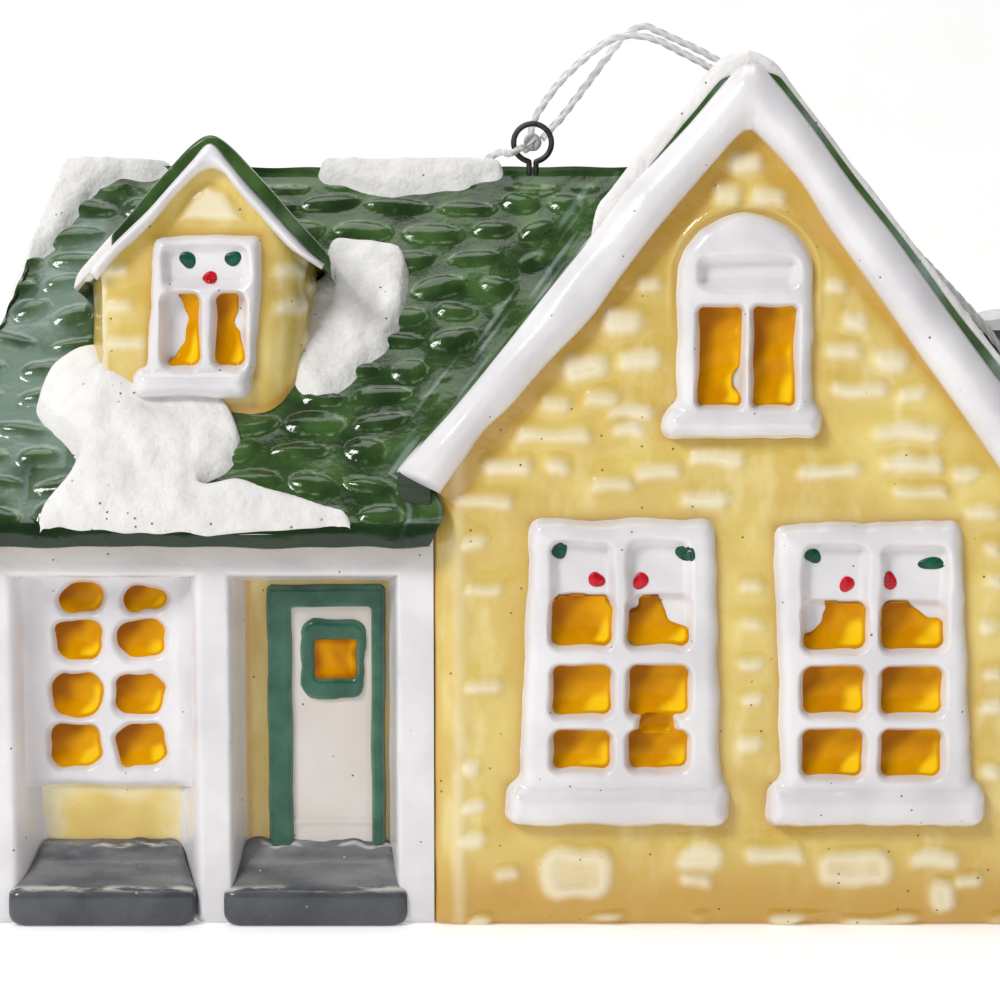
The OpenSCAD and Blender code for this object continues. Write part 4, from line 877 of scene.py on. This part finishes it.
# The barge boards are rolls of clay laid under the roof's front edge and glazed white.
# Each is pressed on with the fingers, so its width and edge waver; the two run together at the peak.
verge_outer = [(-9.3, 41.9), (-8.4, 43.1), (-3.8, 48.2), (0.5, 53.5), (3.7, 57.6), (8.1, 63.1), (11.2, 67.2),
               (14.1, 70.3), (16.8, 73.2), (19, 75.8), (20.6, 77.6), (22, 78.4), (23.6, 77.7), (27.5, 73),
               (31.1, 68.1), (35.2, 63), (40.3, 56.1), (44.6, 50.4), (48.6, 45.6), (52, 41.4)]
verge_inner = [(-5.4, 39.9), (-4.7, 40.9), (-3, 43.3), (-1.4, 45.6), (1, 47.9), (4.2, 51.6), (8.1, 55.7),
               (10.9, 59.6), (14.2, 63.9), (19.2, 69.8), (21, 71.8), (22, 72.4), (23, 71.8), (26.7, 67.8),
               (29.2, 63.9), (33.9, 57.5), (37.1, 53), (41, 47.7), (44.6, 42.6), (46.4, 40.3)]


def barge_boards(nodes, outer, inner, apex, depth, face, seed):
    """A roll between an outer and an inner line: its height is the square root of a sine across, and falls
    off at both feet; it is cut in two at the apex, the point of that number."""
    steps = 14
    a, b = curve(outer, steps), curve(inner, steps)
    share = np.linspace(0, 1, 30)[None]
    x, z = (a[:, None, k] + (b - a)[:, None, k] * share for k in (0, 1))
    run = run_of(a)
    foot = dome(np.minimum(run, run[-1] - run), 1.3)[:, None]
    proud = depth * np.sin(np.pi * share) ** 0.5 * foot * (0.95 + 0.07 * wave(x, z, seed, 7))
    roll, back = at(x, face - proud, z), at(x, face + 0.3, z)
    for node, half in zip(nodes, (slice(0, apex * steps + 1), slice(apex * steps, None))):
        # The roll is painted darker toward its edges, as shade where it meets the wall.
        glazed(node, white_glaze, roll[half], back[half], True, sharp=60,
               pool=0.35 * ramp(proud[half], 0.6, 0.05))


barge_boards(("gable_trim_left", "gable_trim_right"), verge_outer, verge_inner, 11, 2.45, front, 101)

# The dormer sits on the front slope: yellow walls with rounded corners, a white window and its own roof.
# The walls follow a plan (x, y) round from the left to the right; their foot is the slope behind them.
dormer_x, dormer_face, dormer_peak, fall = -26.6, -16.6, 72.3, np.tan(np.radians(10.4))
eave_front = -18.6
plan = [(-11, -2.6), (-11, -8), (-10.9, -12), (-10.2, -14.6), (-9.5, -16), (-8.9, -16.6), (-7, -16.7),
        (-3, -16.6), (1, -16.6), (4.2, -16.6), (6, -16.2), (7.7, -14.9), (8.8, -12.6), (9.5, -8),
        (9.6, -2.6)]
dormer_outline = [(-32.2, 50), (-22.5, 50), (-21.6, 62.8), (-31.3, 62.7)]
dormer_sill = (-33.3, -22.7, 48, 50.8)
peak_stone = [(-28.9, 64.3), (-23.6, 64.3), (-24.9, 66.4), (-26.3, 67), (-27.7, 66.2)]
face_bricks = [(-35, 59.6, 1, .4), (-34.7, 56.4, 1.1, .4), (-34.2, 53, 1.6, .4), (-19.2, 59.5, 1.2, .5),
               (-19.4, 56.2, 1, .5)]
cheek_bricks = [(-13.2, 60.5, 0.9, 0.7), (-11.2, 57.8, 1.1, 0.6), (-13.6, 56.2, 0.9, 0.6),
                (-12.6, 53, 1, 0.6)]

line = even(curve(plan, 10), 0.22)
ahead = np.gradient(line, axis=0)
out = np.stack([ahead[:, 1], -ahead[:, 0]], 1) / np.linalg.norm(ahead, axis=1)[:, None]
high = dormer_peak - 0.9 - fall * (line[:, 1] - eave_front) - 1.04 * np.abs(line[:, 0])
low = np.minimum(ridge_h + wing_slope * line[:, 1] - 0.6, high - 0.6)
z = low + (high - low) * np.linspace(0, 1, 110)[:, None]
s, dy = run_of(line)[None] + 0 * z, line[None, :, 1] + 0 * z
dx = line[None, :, 0] + 0 * z
x, on_face = dx + dormer_x, dy < -15
in_frame = in_outline(x, z, dormer_outline)
crest = np.maximum(ramp(in_outline(x, z, peak_stone), -0.7, 0.6), bricks(x, z, face_bricks)) * (dy < -13)
# A painted highlight runs down the front's left corner.
crest = np.max([crest, 0.8 * bump(dx + 9.3, 0.35) * on_face, bricks(dy, z, cheek_bricks) * (dx > 5)], 0)
# Painted shade under the dormer's roof, round the window frame and along the foot of the walls.
under_roof = 0.8 * np.exp(-(high - z) / 1.5)
pool = np.max([stain(-in_frame, 0.8) * on_face, under_roof, stain(z - low - 0.6, 0.8)], 0)
h = 0.35 * crest + 0.08 * wave(s, z, 121, 6)
h = h - 1.5 * ramp(np.maximum(in_frame, in_box(x, z, dormer_sill, 0.5)), 0.5, 1.3) * on_face
glazed("dormer_walls", yellow_glaze, at(x + h * out[None, :, 0], dy + h * out[None, :, 1], z),
       at(x - 2.4 * out[None, :, 0], dy - 2.4 * out[None, :, 1], z), True, crest=crest, pool=pool)
dormer_lights = lights_of([(-30.5, -27.3), (-25.9, -23.2)], [(50.9, 57.6)])
dormer_level = window("dormer_window", dormer_outline, dormer_sill, dormer_lights,
                      [(-30.4, -22.9, 58.2, 61.9)], dormer_face, frame_proud,
                      [(-31, 54.8, 2.3, 3.2), (-22.3, 55.8, 1.5, 3)], 131, 0.9, flare=0.5)
dormer_outer = [(-37.6, 59.5), (-35.3, 62), (-33.6, 63.7), (-31.7, 65.5), (-29.7, 67.7), (-27.8, 69.8),
                (-26.1, 71.5), (-24.3, 69.5), (-22.5, 67.3), (-20.7, 65.3), (-18.9, 63.3), (-17.1, 61.4),
                (-15.7, 60.3)]
dormer_inner = [(-36.6, 58.7), (-34.5, 61.1), (-32.8, 62.6), (-31.1, 64.3), (-29.3, 66.4), (-27.3, 68.3),
                (-26.1, 68.8), (-24.9, 68.3), (-23.7, 66.7), (-22, 64.8), (-20.4, 63), (-18.9, 61.5),
                (-16.2, 59.7)]
barge_boards(("dormer_trim_left", "dormer_trim_right"), dormer_outer, dormer_inner, 6, 1.75, dormer_face, 141)

u, w = unit_grid(80, 80)
for side, half in ((-1, "left"), (1, "right")):
    off = (11.6 - 0.8 * side) * u
    top = 73.7 - 1.14 * np.hypot(off, 1.25)
    meets_slope = (top + fall * eave_front - ridge_h) / (wing_slope + fall) + 0.35
    y = -17.8 + (np.minimum(-0.2, meets_slope) + 17.8) * w ** 1.3
    x, z = dormer_x + 0.5 + side * off, top - fall * (y - eave_front)
    bulge = 0.1 * wave(off, y, 151, 5) - 0.1 - 0.6 * (1 - dome(y + 17.82, 0.9))
    bulge = bulge - 0.5 * (1 - dome(off.max() - off, 0.8))
    thick = np.minimum(0.9 + 0.4 * off, 1.9) - 0.6 * ramp(off, 8.5, 10.6)
    thick = thick + 0.6 * ramp(y, -17.2, -16.4) * ramp(off, 11.8, 11)
    milk = 0.25 + 0.5 * np.clip(wave(2 * y, 0.12 * off, 157, 2), 0, 1)
    if half == "left":
        tip = ramp(off + 0.5 * wave(off, y, 159, 3) - 6 * ramp(y, -16.8, -14.5), 8.4, 9.1)
        milk = np.maximum(milk, 1.6 * tip)
    glazed("dormer_roof_" + half, green_glaze, at(x, y, z + bulge), at(x, y, z - thick), True,
           crest=0.7 + 0.3 * wave(off, y, 161, 4), milk=milk)

# The snow is thick matte white glaze trailed on by hand; it crawls, so it has pinholes and soft rolled edges.
# Each patch is the outline of its plan (x, y); its upper side follows the roof under it.
snow_glaze, shader, place = finish("snow_glaze", IOR=1.45, Coat_Weight=0.05)
cloud = place.noise(220.0, 4.0)
hole = place.specks(1500.0, 0.19, 0.4) * place.noise(170.0, 2.0).rise(0.5, 0.6)
colour = cloud.rise(0.3, 0.7).blend((224, 221, 219), (238, 236, 234))
colour = hole.blend(colour, (128, 118, 108))
colour = (place.mark("thin") * (0.3 + cloud)).rise(0.8, 1.4).blend(colour, (196, 198, 192))
feed(shader, Base_Color=colour, Roughness=0.45 + 0.25 * cloud,
     Height=(place.noise(600.0, 5.0) - 0.8 * hole, 0.0004))
snow_edge = -24.05


def wing_top(x, y):
    """Height of the wing's roof: the lowest of its two slopes and its hip."""
    return np.minimum(ridge_h - wing_slope * np.abs(y), ridge_h - hip_slope * np.clip(-hip_x - x, 0, None))


def soft_gable_top(x, y):
    """Height of the gable's roof, the lowest of its two slopes and its rear hip, with the ridge rounded and
    the front edge lifted as on the roof."""
    dx = x - gable_cx
    top = peak_h - np.maximum(gable_slope * np.abs(dx), rear_slope * np.clip(y - rear_ridge, 0, None))
    rise = np.where(dx < 0, 1.5, 1.9 - 0.06 * dx) * ramp(y, -19, -22) * (0.25 + 0.75 * ramp(np.abs(dx), 0, 3))
    return top - gable_slope * (np.hypot(dx, 0.9) - np.abs(dx)) + rise


def snow(node, outline, thick, top, seed, edge=1.5, front_limit=-26, span=(-99, 99), more=lambda x, y: 0):
    """A layer over the roof between two x values: its thickness is a quarter round of the distance inside the
    outline, plus soft lumps. Beyond the eave the layer turns down over the roll."""
    outline = curve(outline, 6, closed=True)
    low, high = outline.min(0) - 0.4, outline.max(0) + 0.4
    a, b = max(low[0], span[0]), min(high[0], span[1])
    x, y = np.meshgrid(np.linspace(a, b, int((b - a) / 0.2)),
                       np.arange(max(low[1], front_limit), high[1], 0.16))
    d = in_outline(x + 0.15 * wave(x, y, seed, 4), y + 0.15 * wave(x, y, seed + 1, 4), outline)
    d = np.minimum(d, y - front_limit)
    lumps = 0.14 * wave(x, y, seed + 3, 2.6) * ramp(d, 0.2, 1)
    h = thick(x) * dome(d, edge) * (0.9 + 0.15 * wave(x, y, seed + 2, 5)) + lumps
    h = 0.4 + h - 1.4 * ramp(d, 0.05, -0.5) + more(x, y) * ramp(d, 0, 1)
    h = h * (1 + 0.9 * ramp(ridge_h - wing_slope * np.abs(y) - top(x, y), 0, 6) * (x < -41))
    over = np.clip(snow_edge - y, 0, None)
    y, hang = np.maximum(y, snow_edge), ramp(over, 0, 0.3)
    base = top(x, y) - 1.6 * over
    glazed(node, snow_glaze, at(x, y - 0.3 * hang * h, base + (1 - hang) * h),
           at(x, y + 0.8 * hang, base - 1.1 * (1 - hang)), cells(d > -0.45), thin=ramp(d, 0.6, 0))


left_drift = [(-37, -12.8), (-40.8, -13.9), (-42, -15.9), (-41.2, -17.1), (-38.1, -19.3), (-38.6, -21.1),
              (-40.6, -22.9), (-41, -23.7), (-39.4, -24.1), (-34.6, -24.4), (-28.5, -24.6), (-20.5, -24.35),
              (-16, -24.2), (-14, -23.85), (-13.9, -23.7), (-16.5, -23.2), (-20.7, -22.2), (-23.9, -21.8),
              (-26.6, -21.9), (-26.9, -21.3), (-24.8, -20), (-23.7, -18.9), (-24.6, -17.4), (-27, -15.9),
              (-32.9, -15.3), (-34.7, -13.9)]
right_drift = [(-15.8, -5.7), (-13.1, -5.7), (-10.2, -5.9), (-9.1, -6.6), (-8.9, -8.2), (-9.6, -10.9),
               (-11.7, -12.8), (-14.1, -14.5), (-16.2, -15.7), (-17, -15.7), (-18.8, -14.3), (-18.9, -11.9),
               (-18.2, -9.4), (-16.4, -7.8)]
on_ridge = [(-17, 0), (-14.5, -0.9), (-10, -1.6), (-6, -1.1), (-2.8, -0.7), (0.1, 0), (-3, 1.4), (-9, 2.2),
            (-14, 1.5)]
on_corner = [(-31.6, 0.3), (-34.3, -0.3), (-36.3, -0.4), (-37.7, -0.9), (-39, -1.7), (-40, -2.9), (-42, -5),
             (-44.9, -6.7), (-46.6, -5), (-45.7, 1.5), (-46.4, 5), (-42.8, 5.3), (-39.4, 3), (-37, 1.2)]
gable_drift = [(9.5, -23.4), (15.5, -23.9), (22, -24.6), (30, -23.9), (40, -23.6), (49, -22.6), (48, -20),
               (44, -16), (38, -10), (31, -6), (27, 0), (22, 2.5), (18, -1), (16, -9), (12, -17),
               (8.5, -21)]
snow("snow_drift_left", left_drift, lambda x: 1.0, wing_top, 201,
     more=lambda x, y: 2.3 * np.exp(-((x + 36) / 2.8) ** 2 - ((y + 16.6) / 1.5) ** 2))
snow("snow_drift_right", right_drift, lambda x: 1.0, wing_top, 211)
snow("ridge_snow", on_ridge, lambda x: 0.55, wing_top, 221, 0.9)
snow("corner_snow", on_corner, lambda x: 0.6, wing_top, 231, 1.0)
for half, span in (("left", (-99, gable_cx)), ("right", (gable_cx, 99))):
    snow("gable_snow_" + half, gable_drift, lambda x: 1.35 - 0.55 * np.tanh((x - gable_cx) / 4),
         soft_gable_top, 241, 0.7, -22.3, span)

# The chimney on the right slope is a plain grey stack with a cushion of snow, under the glazes used above.
# Only an edge of it shows in the photograph, so its two solids stand as they are.
coat(grey_glaze, "chimney_stack")
coat(snow_glaze, "chimney_snow")

# The holly dots are drops of overglaze paint in the blind lights: green at the corners, red berries below.
# Each is (x, z, half width, half height), listed by the window that it is painted on.
left_window, right_window = (front, left_level), (front, right_level)
dormer_window = (dormer_face, dormer_level)
leaf_spots = {left_window: [(5.4, 34.8, 0.72, 0.72), (16.7, 34.6, 0.95, 0.72)],
              right_window: [(28.2, 34.3, 0.74, 0.68), (38.9, 33.6, 1.1, 0.62)],
              dormer_window: [(-28.3, 60.6, 0.74, 0.76), (-24.2, 60.7, 0.7, 0.72)]}
berry_spots = {left_window: [(8.7, 32.1, 0.72, 0.72), (12.7, 32, 0.68, 0.78)],
               right_window: [(31.3, 31.7, 0.68, 0.7), (35.2, 32, 0.6, 0.8)],
               dormer_window: [(-26.3, 59, 0.72, 0.5)]}


def drops(name, node, spots, paint, dark, light, shine):
    """Flat domes on the frame's own surface: rings whose half width and half height fall with cos(a) while
    the depth grows with sin(a), a from a little below 0 to nearly 90 degrees."""
    a = np.radians([-40, 0, 20, 40, 60, 75, 86])[:, None]
    turn = np.linspace(0, 2 * np.pi, 24, endpoint=False)[None]
    shells = []
    for (face, level), dots in spots.items():
        for x, z, wide, tall in dots:
            uneven = (1 + 0.1 * np.sin(2 * turn + x) + 0.06 * np.cos(3 * turn + z)) * np.cos(a)
            x, z = x + wide * uneven * np.cos(turn), z + tall * uneven * np.sin(turn)
            shells.append(shell(at(x, face - level(x, z) - 0.02 - 0.2 * np.sin(a), z)))
    material, shader, place = finish(paint, IOR=1.4)
    cloud = place.noise(1200.0)
    feed(shader, Base_Color=cloud.rise(0.3, 0.7).blend(dark, light), Roughness=shine + 0.2 * cloud,
         Height=(cloud, 0.00005))
    fit(solid(name, shells), material, node)


drops("holly_leaf_drops", "holly_leaf_dots", leaf_spots, "leaf_paint", (0, 56, 38), (6, 92, 64), 0.2)
drops("berry_drops", "berry_dots", berry_spots, "berry_paint", (176, 2, 24), (216, 16, 44), 0.18)

# The stage: a pale sweep of paper, a soft key from the upper left, a big light above, bright surroundings.
# The paper is a profile (y, z) in metres, level and then bent up behind the house.
bend, bend_r, across = 0.35, 0.3, 9
turn = np.linspace(0.05, 1.57, 24)
sweep = zip(bend + bend_r * np.sin(turn), bend_r - bend_r * np.cos(turn))
sweep_line = [(-2.2, 0), (bend, 0), *sweep, (0.65, 1.2)]
paper = bpy.data.meshes.new("paper_sweep")
paper.from_pydata([(x, y, z - 0.0001) for y, z in sweep_line for x in np.linspace(-2, 2, across)], [],
                  [(i + k, i + k + 1, i + k + 1 + across, i + k + across)
                   for i in range(0, (len(sweep_line) - 1) * across, across) for k in range(across - 1)])
paper.polygons.foreach_set("use_smooth", np.ones(len(paper.polygons), bool))
floor = bpy.data.objects.new("paper_sweep", paper)
scene.collection.objects.link(floor)
white_paper, shader, place = finish("white_paper", IOR=1.3, Roughness=0.7, Emission_Color=(1, 1, 1, 1),
                                    Emission_Strength=0.27)
feed(shader, Base_Color=place.noise(30.0).rise(0.2, 0.8).blend((249, 248, 247), (252, 252, 252)))
paper.materials.append(white_paper)
floor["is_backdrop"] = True


def soft_light(name, place, target, size, power):
    """A square area light that faces its target."""
    lamp = bpy.data.lights.new(name, "AREA")
    lamp.shape, lamp.size, lamp.energy = "SQUARE", size, power
    holder = bpy.data.objects.new(name, lamp)
    holder.location = place
    toward = np.array(target, float) - np.array(place, float)
    flat = np.hypot(toward[0], toward[1])
    holder.rotation_euler = (np.pi / 2 + np.arctan2(toward[2], flat), 0, np.arctan2(-toward[0], toward[1]))
    scene.collection.objects.link(holder)


house_middle = (0, 0, 0.03)
soft_light("key_light", (-0.38, -0.42, 0.5), house_middle, 0.18, 3.1)
soft_light("top_light", (-0.1, 0.05, 0.75), house_middle, 0.5, 2.2)
world = bpy.data.worlds.new("studio")
scene.world = world
world.use_nodes = True
world.node_tree.nodes["Background"].inputs[0].default_value = (1, 1, 1, 1)
world.node_tree.nodes["Background"].inputs[1].default_value = 0.18
scene.view_settings.view_transform = "Standard"

low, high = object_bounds()
